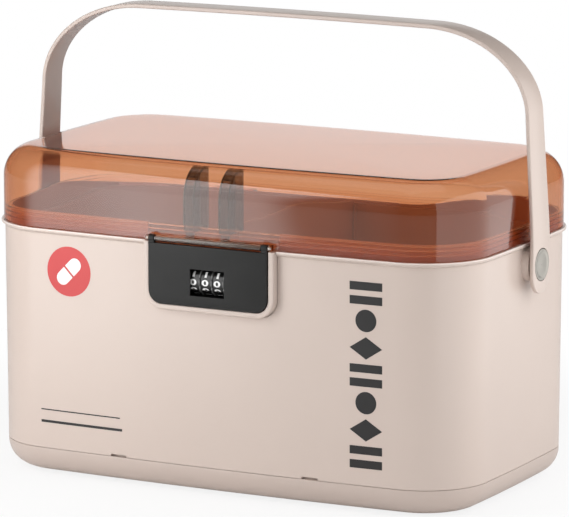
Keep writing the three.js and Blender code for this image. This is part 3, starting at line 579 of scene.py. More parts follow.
PIVOT = middle("handle_pin_right")
PIVOT_BORE = 4.3
BOSS_RADIUS = 10
BOSS_EDGE = 0.4
BOSS_OUTER = node("handle_washer_right")[0].x - GAP
HINGE = middle("hinge_pin_right")
HINGE_PIN_RADIUS = (hinge_high.y - hinge_low.y) / 2
HINGE_BORE = HINGE_PIN_RADIUS + GAP
HINGE_RADIUS = 2.3
HINGE_ARM = 2
HINGE_X = middle("hinge_pin_right", "x")[0]
LID_KNUCKLE = 26
BODY_KNUCKLE = 6.7
SNAP_WIDTH = 10
SNAP_HEIGHT = 1.2
SNAP_X = BOX_WIDTH / 5
SNAP_REACH = (BOX_DEPTH * 0.45, BOX_DEPTH * 0.55)
WALL_RINGS = (0, 40, 85)


def plate_outline(half, bottom, top, radius, inset=0.0, steps=12):
    """A plate seen from the front: square above and round at its two lower corners."""
    half, bottom, top = half - inset, bottom + inset, top - inset
    radius = max(radius - inset, 0.1)
    points = [(half, top), (-half, top)]
    for side, start in ((-1, 180), (1, 270)):
        points += [(side * (half - radius) + radius * math.cos(a), bottom + radius + radius * math.sin(a))
                   for a in arc(start, start + 90, steps)]
    return points


def plate(name, outline, front, back, edge=0.0):
    """A plate between two depths, its outline given as a function of inset, with a rounded front edge."""
    steps = [(inset, front + along) for inset, along in rounding(edge)] if edge else [(0.0, front)]
    return stack(name, [[(x, y, z) for x, z in outline(inset)] for inset, y in [*steps, (0.0, back)]])


def shell_body():
    edge = 0.5
    lip_round = 0.45
    flange = RIM - RIM_THICKNESS
    rings = [
        *[plan(body_inset(SHELL_BOTTOM + rise), SHELL_BOTTOM + rise) for rise in WALL_RINGS],
        *rounded(body_inset(flange) - edge, flange - edge, -edge, 0, 90),
        *rounded(-RIM_OVERHANG + edge, flange + edge, edge, -90, 0),
        *rounded(-RIM_OVERHANG + RIM_BEAD, RIM + RIM_BEAD_RISE - RIM_BEAD, RIM_BEAD, 0, 180, 8),
        plan(-RIM_OVERHANG + 2 * RIM_BEAD, RIM),
        plan(LIP_OUTER, RIM),
        *lip_edge(rounded(LIP_OUTER + LIP_TAPER + lip_round, RIM - lip_round, lip_round, 0, 90)),
        *lip_edge(rounded(LIP_INNER - lip_round, RIM - lip_round, lip_round, 90, 180)),
        plan(LIP_INNER, LEDGE),
        *rounded(LEDGE_INNER - edge, LEDGE - edge, edge, 90, 180),
        plan(LEDGE_INNER, LEDGE - LEDGE_THICKNESS),
        plan(WALL, LEDGE - LEDGE_THICKNESS),
        plan(WALL + body_inset(SHELL_BOTTOM), SHELL_BOTTOM),
    ]
    return stack("shell_body", rings, loops=True)


def hinge_bracket(side):
    near = LID_KNUCKLE / 2 + GAP
    parts = []
    for end in SIDES:
        start = side * HINGE_X + end * near
        span = (start, start + end * BODY_KNUCKLE)
        far_x = max(abs(span[0]), abs(span[1]))
        root = block("root", span, (wall_y(far_x, WALL / 2), HINGE[0]),
                     (HINGE[1] - HINGE_RADIUS, HINGE[1] + HINGE_RADIUS / 2), EDGE)
        parts += [rod("knuckle", "x", HINGE, span, HINGE_RADIUS, EDGE), root]
    return parts


def hinge_notch(side):
    """Room in the flange for the lid's half of one hinge."""
    half = LID_KNUCKLE / 2 + GAP
    return block("notch", (side * HINGE_X - half, side * HINGE_X + half),
                 (HINGE[0] - HINGE_RADIUS - GAP, HINGE[0] + BEYOND),
                 (HINGE[1] - HINGE_RADIUS - GAP, RIM + BEYOND))


# Picks the faces of the rim's bead, which take the painted highlight
def on_rim_bead(place, normal):
    height = place.z - RIM
    outside = abs(place.y) > wall_y(place.x, 0) or abs(place.x) > BOX_WIDTH / 2 - CORNER
    return outside and -RIM_BEAD < height <= RIM_BEAD_RISE


def body_shell():
    shell = shell_body()
    boss_root = BOX_WIDTH / 2 - WALL / 2
    bosses = [rod("boss", "x", PIVOT, (side * boss_root, side * BOSS_OUTER), BOSS_RADIUS, BOSS_EDGE)
              for side in SIDES]
    weld(shell, *bosses, *hinge_bracket(-1), *hinge_bracket(1))
    opening = plate("opening", lambda inset: plate_outline(
        bezel_high.x + GAP, BEZEL_BOTTOM - GAP, RIM + LIP_HEIGHT + BEYOND, BEZEL_CORNER + GAP),
        bezel_low.y - BEYOND, bezel_high.y)
    windows = [block("window", (side * SNAP_X - SNAP_WIDTH / 2, side * SNAP_X + SNAP_WIDTH / 2),
                     [face * reach for reach in SNAP_REACH],
                     (SHELL_BOTTOM - BEYOND, SHELL_BOTTOM + SNAP_HEIGHT))
               for side in SIDES for face in SIDES]
    cut(shell, opening, cross_bore(PIVOT, PIVOT_BORE, ROUND_STEPS), cross_bore(HINGE, HINGE_BORE),
        hinge_notch(-1), hinge_notch(1), *windows)
    dress(shell, "box", "beige_shell", beige, "body_shell")
    # The bead along the flange's edge is painted paler: a painted highlight along the rim
    second_finish(shell, rim_highlight_beige, on_rim_bead)


# Base pan

FEET = range(1, 5)
FOOT_EDGE = 0.8
# The groove under a foot: heights, with shares of the foot's radius
FOOT_GROOVE = ((0, 0.55), (0.25, 0.6), (0, 0.65))


def base_pan():
    top = pan_high.z - PAN_LIP_HEIGHT
    side = body_inset(top)
    edge = 0.4
    lip_face = side + WALL + GAP
    lip_back = lip_face + PAN_LIP_THICKNESS
    floor = PAN_BOTTOM + PAN_FLOOR
    inner = PAN_ROUNDING - PAN_FLOOR
    rings = [
        *rounded(side + PAN_ROUNDING, PAN_BOTTOM + PAN_ROUNDING, PAN_ROUNDING, -90, 0, FILLET_STEPS),
        *rounded(side + edge, top - edge, edge, 0, 90),
        plan(lip_face, top),
        plan(lip_face, pan_high.z),
        plan(lip_back, pan_high.z),
        *rounded(lip_back + inner, floor + inner, inner, 0, -90, FILLET_STEPS),
    ]
    pan = stack("base_pan_body", rings)
    for index in FEET:
        low, high = node(f"foot_{index}")
        cut(pan, rod("recess", "z", middle(f"foot_{index}", "xy"), (PAN_BOTTOM - BEYOND, high.z + GAP),
                     (high.x - low.x) / 2 + GAP))
    return dress(pan, "box", "base_plastic", base_beige, "base_pan")


def foot(index):
    name = f"foot_{index}"
    low, high = node(name)
    radius = (high.x - low.x) / 2
    groove = [(low.z + rise, radius * share) for rise, share in FOOT_GROOVE]
    rim = [(low.z + along, radius - inset) for inset, along in rounding(FOOT_EDGE, 5)]
    profile = [(low.z, CLOSED), *groove, *rim, (high.z, radius), (high.z, CLOSED)]
    obj = turned(f"{name}_pad", "z", middle(name, "xy"), profile)
    return dress(obj, "box", "foot_rubber", rubber, name)


# Lock bezel: the frame swept round three sides of the panel, and the pocket behind it

BEZEL_BORDER = 3.4
BEZEL_PANEL_GAP = 0.4
BEZEL_INNER_EDGE = 0.35
BEZEL_OUTER_EDGE = 1
BEZEL_FRAME_DEPTH = 6.8
PANEL_CORNER = 7.5
PANEL_THICKNESS = 2.2
POCKET_HALF = 33
POCKET_WALL = 1.8
HOLLOW_REACH = 3
FRAME_WEB = 1.2
FRAME_WEB_RISE = 3
STAPLE_BORE = 1.4

BEZEL_CORNER = PANEL_CORNER + BEZEL_BORDER
BEZEL_FLOOR = panel_low.z - BEZEL_PANEL_GAP
BEZEL_BOTTOM = BEZEL_FLOOR - BEZEL_BORDER + BEZEL_PANEL_GAP
BEZEL_BACK = bezel_low.y + BEZEL_FRAME_DEPTH
PANEL_HALF = panel_high.x
PANEL_BACK = panel_low.y + PANEL_THICKNESS


def bezel_frame():
    """Rings across the frame, along its U from one upper end to the other."""
    inner = plate_outline(PANEL_HALF + BEZEL_PANEL_GAP, BEZEL_FLOOR, bezel_high.z,
                          PANEL_CORNER + BEZEL_PANEL_GAP)
    outer = plate_outline(bezel_high.x, BEZEL_BOTTOM, bezel_high.z, BEZEL_CORNER)
    front = bezel_low.y
    # Each point of the section: counted from the inner (0) or outer (1) face, how far outward, and its depth
    section = [(0, 0.0, BEZEL_BACK)]
    section += [(0, along, front + inset) for inset, along in rounding(BEZEL_INNER_EDGE)]
    section += [(1, -inset, front + along) for inset, along in rounding(BEZEL_OUTER_EDGE, 5)]
    section.append((1, 0.0, BEZEL_BACK))
    rings = []
    for (xi, zi), (xo, zo) in zip([*inner[1:], inner[0]], [*outer[1:], outer[0]]):
        across = math.hypot(xo - xi, zo - zi)
        shares = [(face + step / across, y) for face, step, y in section]
        rings.append([(xi + (xo - xi) * t, y, zi + (zo - zi) * t) for t, y in shares])
    return stack("bezel_frame", rings)


def lock_bezel():
    pocket_half = POCKET_HALF + POCKET_WALL
    web_half = bezel_high.x - LAP
    pocket = block("pocket", (-pocket_half, pocket_half), (BEZEL_BACK - LAP, bezel_high.y),
                   (BEZEL_FLOOR - POCKET_WALL, bezel_high.z))
    weld(pocket, block("web", (-web_half, web_half), (BEZEL_BACK - FRAME_WEB, BEZEL_BACK),
                       (BEZEL_BOTTOM + FRAME_WEB_RISE, bezel_high.z)))
    hollow = block("hollow", (-POCKET_HALF, POCKET_HALF),
                   (PANEL_BACK - HOLLOW_REACH, bezel_high.y - POCKET_WALL),
                   (BEZEL_FLOOR, bezel_high.z + BEYOND))
    bores = [rod("bore", "y", middle(f"staple_screw_{index}", "xz"),
                 (bezel_high.y - BEYOND, bezel_high.y + BEYOND), STAPLE_BORE, steps=SMALL_STEPS)
             for index in (1, 2)]
    cut(pocket, hollow, *bores)
    bezel = gather("lock_bezel_frame", [bezel_frame(), pocket])
    return dress(bezel, "box", "beige_shell", beige, "lock_bezel")


# Lid

CLASP = middle("clasp_pin")
CLASP_PIN_RADIUS = (clasp_high.y - clasp_low.y) / 2
CLASP_BARREL = 2
CLASP_EAR = 1.6
CLASP_KNUCKLE = 3.8
BARREL_HALF = PANEL_HALF - CLASP_KNUCKLE
WEB_HEIGHT = 3.4
EAR_THICKNESS = 1.5
LID_SHARP_ANGLE = 28
# The top's rings, as shares of its plan
CROWN_SCALES = (0.9, 0.75, 0.55, 0.35, 0.15)


def dome(face_inset, radius, top):
    """Rings up one face of the dome: its fillet, then its gently crowned top."""
    return [*rounded(face_inset + radius, LID_TOP - LID_FILLET, radius, 0, 90, FILLET_STEPS),
            *[plan(face_inset + radius, top + LID_CROWN * (1 - s * s), s) for s in CROWN_SCALES]]


def lid_shell():
    """One run of rings: from the crown down the outside, round the lower edge and up the stepped inside."""
    face = LID_WALL - LID_OVERHANG
    crown = LID_TOP + LID_CROWN
    outer = [*rounded(-LID_OVERHANG + EDGE, LID_BOTTOM + EDGE, EDGE, -90, 0),
             *dome(-LID_OVERHANG, LID_FILLET, LID_TOP)]
    inner = [plan(face + LID_STEP * len(LID_STEP_HEIGHTS), LID_BOTTOM)]
    for index, height in enumerate(LID_STEP_HEIGHTS):
        step = face + LID_STEP * (len(LID_STEP_HEIGHTS) - index)
        top = RIM + height
        inner += [plan(step, top - 2 * LID_BEAD),
                  *rounded(step, top - LID_BEAD, -LID_BEAD, 60, -60),
                  plan(step - LID_STEP, top)]
    inner += dome(face, LID_FILLET - LID_WALL, LID_TOP - LID_WALL)
    return stack("lid_dome", [*reversed(outer), *inner], low_centre=(0, 0, crown),
                 high_centre=(0, 0, crown - LID_WALL))


def knuckle_outline(inset):
    """The lid's half of a hinge from the side: round below, with an arm forward to the lid's wall."""
    radius = HINGE_RADIUS - inset
    root = wall_y(HINGE_X + LID_KNUCKLE / 2, LID_WALL / 2 - LID_OVERHANG)
    low, high = LID_BOTTOM + inset, LID_BOTTOM + HINGE_ARM - inset
    points = [(HINGE[0] + radius * math.cos(a), HINGE[1] + radius * math.sin(a))
              for a in arc(180, 360, SMALL_STEPS)]
    points += [(HINGE[0] + radius - along, high - drop) for drop, along in rounding(HINGE_ARM / 2, 6)]
    return [*points, (root, high), (root, low), (HINGE[0] - radius, low)]


def lid_knuckle(side):
    ends = rounded_ends(side * HINGE_X - LID_KNUCKLE / 2, side * HINGE_X + LID_KNUCKLE / 2, EDGE)
    return stack("knuckle", [[(x, y, z) for y, z in knuckle_outline(inset)] for inset, x in ends])


def lid():
    whole = lid_shell()
    web_back = -wall_y(PANEL_HALF, LID_WALL - LID_OVERHANG - GAP)
    barrel = (-BARREL_HALF, BARREL_HALF)
    parts = [block("web", barrel, (CLASP[0], web_back), (LID_BOTTOM, LID_BOTTOM + WEB_HEIGHT), EDGE),
             rod("barrel", "x", CLASP, barrel, CLASP_BARREL, EDGE, MEDIUM_STEPS)]
    near = PANEL_HALF + GAP
    for side in SIDES:
        span = (side * near, side * (near + EAR_THICKNESS))
        parts += [rod("ear", "x", CLASP, span, CLASP_EAR, FINE_EDGE, MEDIUM_STEPS),
                  block("ear", span, (CLASP[0], web_back), (LID_BOTTOM, CLASP[1] + CLASP_EAR), FINE_EDGE),
                  lid_knuckle(side)]
    weld(whole, *parts)
    cut(whole, cross_bore(CLASP, CLASP_PIN_RADIUS + GAP), cross_bore(HINGE, HINGE_BORE))
    return dress(whole, "lid", "smoke_lid", smoke, "lid", angle=LID_SHARP_ANGLE)


# Clasp brackets inside the lid: two ribs joined by a bent cap, a shelf and a foot

BRACKET_RIB = 1.3
BRACKET_EDGE = 0.25
BRACKET_BOTTOM = RIM + 6.2
BRACKET_LAP = BRACKET_RIB * 0.8
CAP_START = 45
CAP_DEPTHS = (0.1, 1.5)
CAP_STEPS = 10
SHELF_START = 0.1
SHELF_END = 0.6
SHELF_THICKNESS = 1.2
BRACKET_FOOT = 1.5
BRACKET_FOOT_RISE = 2.4
BRACKET_BORE = 1.1


def bracket_rib(outline, x):
    """A rib from its side outline, whose edges are drawn in toward the outline's middle."""
    centre = Vector([sum(values) / len(outline) for values in zip(*outline)])
    edge, width = BRACKET_EDGE, BRACKET_RIB
    rings = []
    for inset, shift in ((edge, 0), (0, edge), (0, width - edge), (edge, width)):
        ring = [Vector(p) + (centre - Vector(p)).normalized() * inset for p in outline]
        rings.append([(x + shift, y, z) for y, z in ring])
    return stack("rib", rings)


def clasp_bracket(name):
    low, high = node(name)
    foot_y = low.y + LID_STEP * len(LID_STEP_HEIGHTS)
    radius = LID_FILLET - LID_WALL - GAP
    arc_y, arc_z = low.y + radius, LID_TOP - LID_FILLET
    steps_top = RIM + LID_STEP_HEIGHTS[-1] + GAP

    def bend(depth, start, end, steps):
        reach = radius - depth
        return [(arc_y - reach * math.cos(a), arc_z + reach * math.sin(a)) for a in arc(start, end, steps)]

    outline = [(foot_y, BRACKET_BOTTOM), (foot_y, steps_top), (low.y, steps_top),
               *bend(0, 0, 90, FILLET_STEPS),
               (high.y, arc_z + radius), (high.y, BRACKET_BOTTOM)]
    cap = [*bend(CAP_DEPTHS[0], CAP_START, 90, CAP_STEPS),
           *bend(CAP_DEPTHS[1], 90, CAP_START, CAP_STEPS)]
    inside = (low.x + BRACKET_LAP, high.x - BRACKET_LAP)
    whole = bracket_rib(outline, low.x)
    weld(whole,
         bracket_rib(outline, high.x - BRACKET_RIB),
         stack("cap", [[(x, y, z) for y, z in cap] for x in inside]),
         block("shelf", inside, (foot_y + SHELF_START, high.y - SHELF_END),
               (BRACKET_BOTTOM, BRACKET_BOTTOM + SHELF_THICKNESS), EDGE),
         block("foot", inside, (foot_y, foot_y + BRACKET_FOOT),
               (low.z, BRACKET_BOTTOM + BRACKET_FOOT_RISE), EDGE))
    screw = middle(name.replace("clasp_bracket", "bracket_screw"), "xz")
    cut(whole, rod("bore", "y", screw, (foot_y - LAP, foot_y + 2 * BRACKET_FOOT), BRACKET_BORE,
                   steps=SMALL_STEPS))
    whole.name = name + "_ribs"
    return dress(whole, "lid", "smoke_bracket", grey_smoke, name)


# Clasp pin, and the clasp panel with its window

DIALS = (1, 2, 3)
DIAL = middle("lock_bolt")
DIAL_RADIUS = 7.6
RING_RADIUS = 8.1
RING_WIDTH = 0.95
RELIEF_END = 0.45
WINDOW_HALF = 10.65
WINDOW_HEIGHT = 15
WINDOW_SKIN = 1
PANEL_HEIGHT = 33.9
PANEL_EDGE = 0.6
# Faces of the clasp panel that face the front less than this take the painted gap shade
PANEL_FRONT_FACING = -0.85
PANEL_BOSS_RADIUS = 3
PANEL_BOSS_HEIGHT = 2
# How far the clasp pin's plain steel reaches in from each end; between, the pin takes the painted shade
STEEL_END = 1.6
PIN_EDGE = 0.6


def clasp_pin():
    """A rod in dark metal along its middle, painted shade where the lid's barrel covers it, with rounded ends
    of plain steel.
    """
    radius = CLASP_PIN_RADIUS
    steel_from = clasp_high.x - STEEL_END
    half = [(steel_from, radius), *[(clasp_high.x - inset, radius - along)
                                  for inset, along in rounding(radius * PIN_EDGE, 5)]]
    profile = [(-along, r) for along, r in reversed(half)] + half
    pin = turned("clasp_pin_rod", "x", CLASP, profile, steps=32)
    dress(pin, "lid", "small_steel", pin_shade_steel, "clasp_pin")
    second_finish(pin, steel, lambda place, normal: abs(place.x) > steel_from)


def lock_panel():
    top = panel_low.z + PANEL_HEIGHT
    front = panel_low.y
    panel = plate("lock_panel_plate",
                  lambda inset: plate_outline(PANEL_HALF, panel_low.z, top, PANEL_CORNER, inset),
                  front, PANEL_BACK, PANEL_EDGE)
    relief_x = (node("number_dial_1")[0].x - 2 * GAP, node("number_dial_3")[1].x + RELIEF_END)
    relief_half = RING_RADIUS + 2 * GAP
    relief = block("relief", relief_x, (front + WINDOW_SKIN, PANEL_BACK + BEYOND),
                   (DIAL[1] - relief_half, DIAL[1] + relief_half))
    window = block("window", (-WINDOW_HALF, WINDOW_HALF), (front - BEYOND, PANEL_BACK),
                   (DIAL[1] - WINDOW_HEIGHT / 2, DIAL[1] + WINDOW_HEIGHT / 2))
    cut(panel, relief, window)
    parts = []
    for side in SIDES:
        span = (side * (BARREL_HALF + GAP), side * PANEL_HALF)
        parts += [rod("knuckle", "x", CLASP, span, CLASP_BARREL, EDGE, MEDIUM_STEPS),
                  block("knuckle", span, (CLASP[0] - CLASP_EAR, CLASP[0] + CLASP_PIN_RADIUS),
                        (top - PANEL_EDGE, CLASP[1]), FINE_EDGE)]
    for index in (1, 2):
        parts.append(rod("boss", "y", middle(f"case_screw_{index}", "xz"),
                         (PANEL_BACK - OVERLAP, PANEL_BACK + PANEL_BOSS_HEIGHT), PANEL_BOSS_RADIUS,
                         steps=MEDIUM_STEPS))
    weld(panel, *parts)
    cut(panel, cross_bore(CLASP, CLASP_PIN_RADIUS + GAP))
    dress(panel, "clasp", "charcoal_panel", charcoal, "lock_panel")
    # Every face of the panel that doesn't face the front is painted black: painted shade for the dark gap
    # round the panel and at its knuckles
    second_finish(panel, black, lambda place, normal: normal.y > PANEL_FRONT_FACING)


# Number dials: a drum, a notched finger ring and ten printed numbers

NOTCHES = 10
NOTCH_DEPTH = 0.08
DIAL_STEPS = 160
DIAL_BORE = 2.3
DIGITS = 10
DIGIT_HEIGHT = 3.5
DIGIT_STRETCH = 1.8
DIGIT_SHIFT = -0.4
DIGIT_WEIGHT = 0.03
DIGIT_STRIPS = 8
INK_LIFT = 0.04


def notch(angle):
    """How far the finger ring reaches at an angle, as a share of its radius."""
    return 1 - NOTCH_DEPTH * max(0.0, -math.cos(NOTCHES * angle)) ** 3


def number_dial(index):
    low, high = node(f"number_dial_{index}")
    ring_left = high.x - RING_WIDTH
    edge = FINE_EDGE
    turns = [2 * math.pi * i / DIAL_STEPS for i in range(DIAL_STEPS)]
    drum = [(low.x, DIAL_BORE), (low.x, DIAL_RADIUS - edge),
            (low.x + edge, DIAL_RADIUS), (ring_left, DIAL_RADIUS)]
    ring = [(ring_left, RING_RADIUS - edge), (ring_left + edge, RING_RADIUS),
            (high.x - edge, RING_RADIUS), (high.x, RING_RADIUS - edge)]
    rings = []
    for x, radius in [*drum, *ring, (high.x, DIAL_BORE)]:
        reaches = [radius * (notch(a) if (x, radius) in ring else 1) for a in turns]
        rings.append([(x, DIAL[0] + reach * math.cos(a), DIAL[1] + reach * math.sin(a))
                      for reach, a in zip(reaches, turns)])
    obj = stack(f"dial_{index}_drum", rings, loops=True)
    dress(obj, f"dial_{index}", "dial_black", dial_black, f"number_dial_{index}")
    # The finger ring is painted a lighter grey than the drum: a painted highlight
    second_finish(obj, ring_highlight_grey, lambda place, normal: place.x > ring_left - CLOSED)
    dial_numbers(index, (low.x + ring_left) / 2 + DIGIT_SHIFT)


def slice_up(work, axis, places):
    """Cuts a flat mesh across an axis at these places, so that it can bend."""
    for place in places:
        point, normal = Vector(), Vector()
        point[axis], normal[axis] = place, 1
        geometry = [*work.verts, *work.edges, *work.faces]
        bmesh.ops.bisect_plane(work, geom=geometry, plane_co=point, plane_no=normal)


def digit_mesh(digit):
    """A digit as a flat mesh around the origin, cut into short strips so that it bends."""
    curve = bpy.data.curves.new("digit", "FONT")
    curve.body = str(digit)
    curve.align_x = "CENTER"
    curve.align_y = "CENTER"
    curve.offset = DIGIT_WEIGHT
    holder = link("digit", curve)
    bpy.context.view_layer.update()
    graph = bpy.context.evaluated_depsgraph_get()
    mesh = bpy.data.meshes.new_from_object(holder.evaluated_get(graph))
    bpy.data.objects.remove(holder)
    work = bmesh.new()
    work.from_mesh(mesh)
    heights = [v.co.y for v in work.verts]
    low, high = min(heights), max(heights)
    centre = sum(v.co.x for v in work.verts) / len(work.verts)
    scale = DIGIT_HEIGHT / (high - low)
    for vert in work.verts:
        vert.co = ((vert.co.x - centre) * scale * DIGIT_STRETCH, (vert.co.y - (low + high) / 2) * scale, 0)
    slice_up(work, 1, between(-DIGIT_HEIGHT / 2, DIGIT_HEIGHT / 2, DIGIT_STRIPS))
    work.to_mesh(mesh)
    work.free()
    return mesh


def dial_numbers(index, centre):
    radius = DIAL_RADIUS + INK_LIFT
    points, faces = [], []
    for digit in range(DIGITS):
        mesh = digit_mesh(digit)
        first = len(points)
        for vert in mesh.vertices:
            angle = digit * 2 * math.pi / DIGITS + vert.co.y / radius
            points.append((centre + vert.co.x, DIAL[0] - radius * math.cos(angle),
                           DIAL[1] + radius * math.sin(angle)))
        faces += [tuple(first + v for v in face.vertices) for face in mesh.polygons]
        bpy.data.meshes.remove(mesh)
    dress(mesh_object(f"dial_{index}_numbers", points, faces), f"dial_{index}", "dial_black", white_ink)


# Handle strap and pivots

STRAP_THICKNESS = 2.4
STRAP_EDGE = 0.75
STRAP_TOP_WIDTH = 17.5
STRAP_FOOT_X = strap_high.x
STRAP_FOOT_HALF = (strap_high.y - strap_low.y) / 2
STRAP_SHOULDER_X = BOX_WIDTH / 2 + 3.9
STRAP_BEND = RIM + 3
STRAP_BLEND = 10
STRAP_SHOULDER = LID_TOP + 26.7
STRAP_CORNER_WIDTH = 64
STRAP_CORNER_HEIGHT = 48.4
STRAP_CROWN = 0.5
# Keeps the foot's lowest ring open: the least square of half its width
STRAP_TIP = 0.02
CAP_RECESS = 0.9
CAP_RADIUS = (cap_high.y - cap_low.y) / 2
CAP_HEIGHT = 0.9
CAP_EDGE = 0.35
CAP_SHOULDER = CAP_HEIGHT * 0.55
CAP_UNDERCUT = 0.1
CAP_DISH = 0.3
# The cap's face from its rim inwards: shares of the dish's depth, with shares of the cap's radius
CAP_FACE = ((0, 0.86), (1, 0.76), (1, 0.7), (0.6, 0.35))
CAP_MIDDLE = 0.5
SHANK_RADIUS = 4
SHANK_EDGE = 0.3


def strap_path():
    """Points of the strap's outer line, from the right foot over the top to the left foot."""
    foot_top = strap_low.z + STRAP_FOOT_HALF
    corner_x = STRAP_SHOULDER_X - STRAP_CORNER_WIDTH
    lean = (STRAP_FOOT_X - STRAP_SHOULDER_X) / (STRAP_SHOULDER - STRAP_BEND)
    path = [(STRAP_FOOT_X, foot_top - STRAP_FOOT_HALF * math.cos(a)) for a in arc(0, 90, FILLET_STEPS)]
    path += [(STRAP_FOOT_X, z) for z in between(foot_top, STRAP_BEND - STRAP_BLEND, 4)]
    for t in marks(0, 1, 8):
        path.append((STRAP_FOOT_X - lean * STRAP_BLEND * t * t, STRAP_BEND + STRAP_BLEND * (2 * t - 1)))
    path += [(STRAP_FOOT_X - lean * (z - STRAP_BEND), z)
             for z in between(STRAP_BEND + STRAP_BLEND, STRAP_SHOULDER, 8)]
    path += [(corner_x + STRAP_CORNER_WIDTH * math.cos(a), STRAP_SHOULDER + STRAP_CORNER_HEIGHT * math.sin(a))
             for a in arc(0, 90, 30)]
    for x in marks(corner_x, 0, 10)[1:]:
        path.append((x, STRAP_SHOULDER + STRAP_CORNER_HEIGHT + STRAP_CROWN * (1 - (x / corner_x) ** 2)))
    return path + [(-x, z) for x, z in reversed(path[:-1])]


def strap_half_width(z):
    """Half the strap's width: round at the foot, then changing evenly from the pivot to the top."""
    round_z = strap_low.z + STRAP_FOOT_HALF
    if z < round_z:
        return math.sqrt(max(STRAP_TIP, STRAP_FOOT_HALF ** 2 - (round_z - z) ** 2))
    if z < PIVOT[1]:
        return STRAP_FOOT_HALF
    t = (z - PIVOT[1]) / (strap_high.z + BEYOND - PIVOT[1])
    return STRAP_FOOT_HALF + (STRAP_TOP_WIDTH / 2 - STRAP_FOOT_HALF) * t


def handle_strap():
    path = strap_path()
    rings = []
    for i, (x, z) in enumerate(path):
        before, after = path[max(i - 1, 0)], path[min(i + 1, len(path) - 1)]
        along = Vector((after[0] - before[0], after[1] - before[1])).normalized()
        inward = Vector((-along.y, along.x))
        half = strap_half_width(z)
        edge = min(STRAP_EDGE, half / 2)
        corners = ((half - edge, edge, -90), (half - edge, STRAP_THICKNESS - edge, 0),
                   (-half + edge, STRAP_THICKNESS - edge, 90), (-half + edge, edge, 180))
        ring = []
        for across, depth, start in corners:
            for a in arc(start, start + 90, 4):
                d = depth + edge * math.sin(a)
                ring.append((x + inward.x * d, PIVOT[0] + across + edge * math.cos(a), z + inward.y * d))
        rings.append(ring)
    strap = stack("handle_strap_band", rings)
    recesses = [rod("recess", "x", PIVOT, (side * (STRAP_FOOT_X - CAP_RECESS),
                                           side * (STRAP_FOOT_X + BEYOND)), CAP_RADIUS + GAP)
                for side in SIDES]
    cut(strap, cross_bore(PIVOT, PIVOT_BORE, ROUND_STEPS), *recesses)
    return dress(strap, "handle", "beige_shell", beige, "handle_strap")


def handle_pin(name, side):
    """A shank and a wide cap, whose face has a raised rim and a shallow cone in the middle."""
    low, high = node(name)
    inner, outer = sorted((abs(low.x), abs(high.x)))
    back = outer - CAP_HEIGHT
    shoulder = back + CAP_SHOULDER + CAP_EDGE
    profile = [
        (inner, CLOSED), (inner, SHANK_RADIUS - SHANK_EDGE), (inner + SHANK_EDGE, SHANK_RADIUS),
        (back, SHANK_RADIUS), (back, CAP_RADIUS - CAP_UNDERCUT),
        *[(shoulder - inset, CAP_RADIUS - along) for inset, along in rounding(CAP_EDGE, 5)],
        *[(outer - CAP_DISH * depth, CAP_RADIUS * share) for depth, share in CAP_FACE],
        (outer - CAP_DISH * CAP_MIDDLE, CLOSED),
    ]
    obj = turned(f"{name}_cap", "x", PIVOT, [(side * along, radius) for along, radius in profile])
    return dress(obj, "box", "pivot_metal", cap_metal, name)


# Tray and its divider

TRAY_WALL = 1.6
TRAY_FLANGE = 1.6
TRAY_EDGE = 0.4
TRAY_CORNER = 5
TRAY_INNER_CORNER = 4
TRAY_NOTCH_HALF = 44
TRAY_POCKET_ROOM = 2.6
RAIL_WIDTH = 1.2
RAIL_DEPTH = 1.5
RAIL_EDGE = 0.25
RAIL_SINK = 0.5
DIVIDER_DROP = 0.5
DIVIDER_EDGE = 0.45
DIVIDER_STEPS = 24


def lift_tray():
    top, bottom = tray_high.z, tray_low.z
    outer = LEDGE_INNER + GAP
    inner = outer + TRAY_WALL
    inner_bottom = bottom + TRAY_WALL
    lip = LIP_INNER + GAP + TRAY_EDGE
    tray = stack("lift_tray_body", [
        *rounded(outer + TRAY_CORNER, bottom + TRAY_CORNER, TRAY_CORNER, -90, 0, 6),
        plan(outer, top - TRAY_FLANGE),
        *rounded(lip, top - TRAY_FLANGE + TRAY_EDGE, TRAY_EDGE, -90, 0),
        *rounded(lip, top - TRAY_EDGE, TRAY_EDGE, 0, 90),
        *rounded(inner - TRAY_EDGE, top - TRAY_EDGE, TRAY_EDGE, 90, 180),
        *rounded(inner + TRAY_INNER_CORNER, inner_bottom + TRAY_INNER_CORNER, TRAY_INNER_CORNER, 0, -90, 6),
    ])
    notch_y = bezel_high.y + TRAY_POCKET_ROOM
    wall_half = TRAY_NOTCH_HALF + TRAY_WALL
    wall_front = -wall_y(TRAY_NOTCH_HALF, outer + TRAY_WALL / 2) - LAP
    weld(tray, block("notch_wall", (-wall_half, wall_half), (wall_front, notch_y + TRAY_WALL),
                     (bottom + LAP, top - OVERLAP)))
    cut(tray, block("notch", (-TRAY_NOTCH_HALF, TRAY_NOTCH_HALF), (-BOX_DEPTH, notch_y),
                    (bottom - BEYOND, top + BEYOND)))
    divider_low, divider_high = node("tray_divider")
    back_y = divider_high.y + GAP
    rails = [block("rail", (x, x + RAIL_WIDTH), y, (inner_bottom - RAIL_SINK, top - TRAY_FLANGE), RAIL_EDGE)
             for x in (divider_low.x - GAP - RAIL_WIDTH, divider_high.x + GAP)
             for y in ((notch_y + TRAY_WALL / 2, notch_y + TRAY_WALL + RAIL_DEPTH),
                       (back_y - RAIL_DEPTH, back_y + TRAY_WALL / 2))]
    whole = gather("lift_tray_moulding", [tray, *rails])
    return dress(whole, "tray", "tray_plastic", inner_beige, "lift_tray")


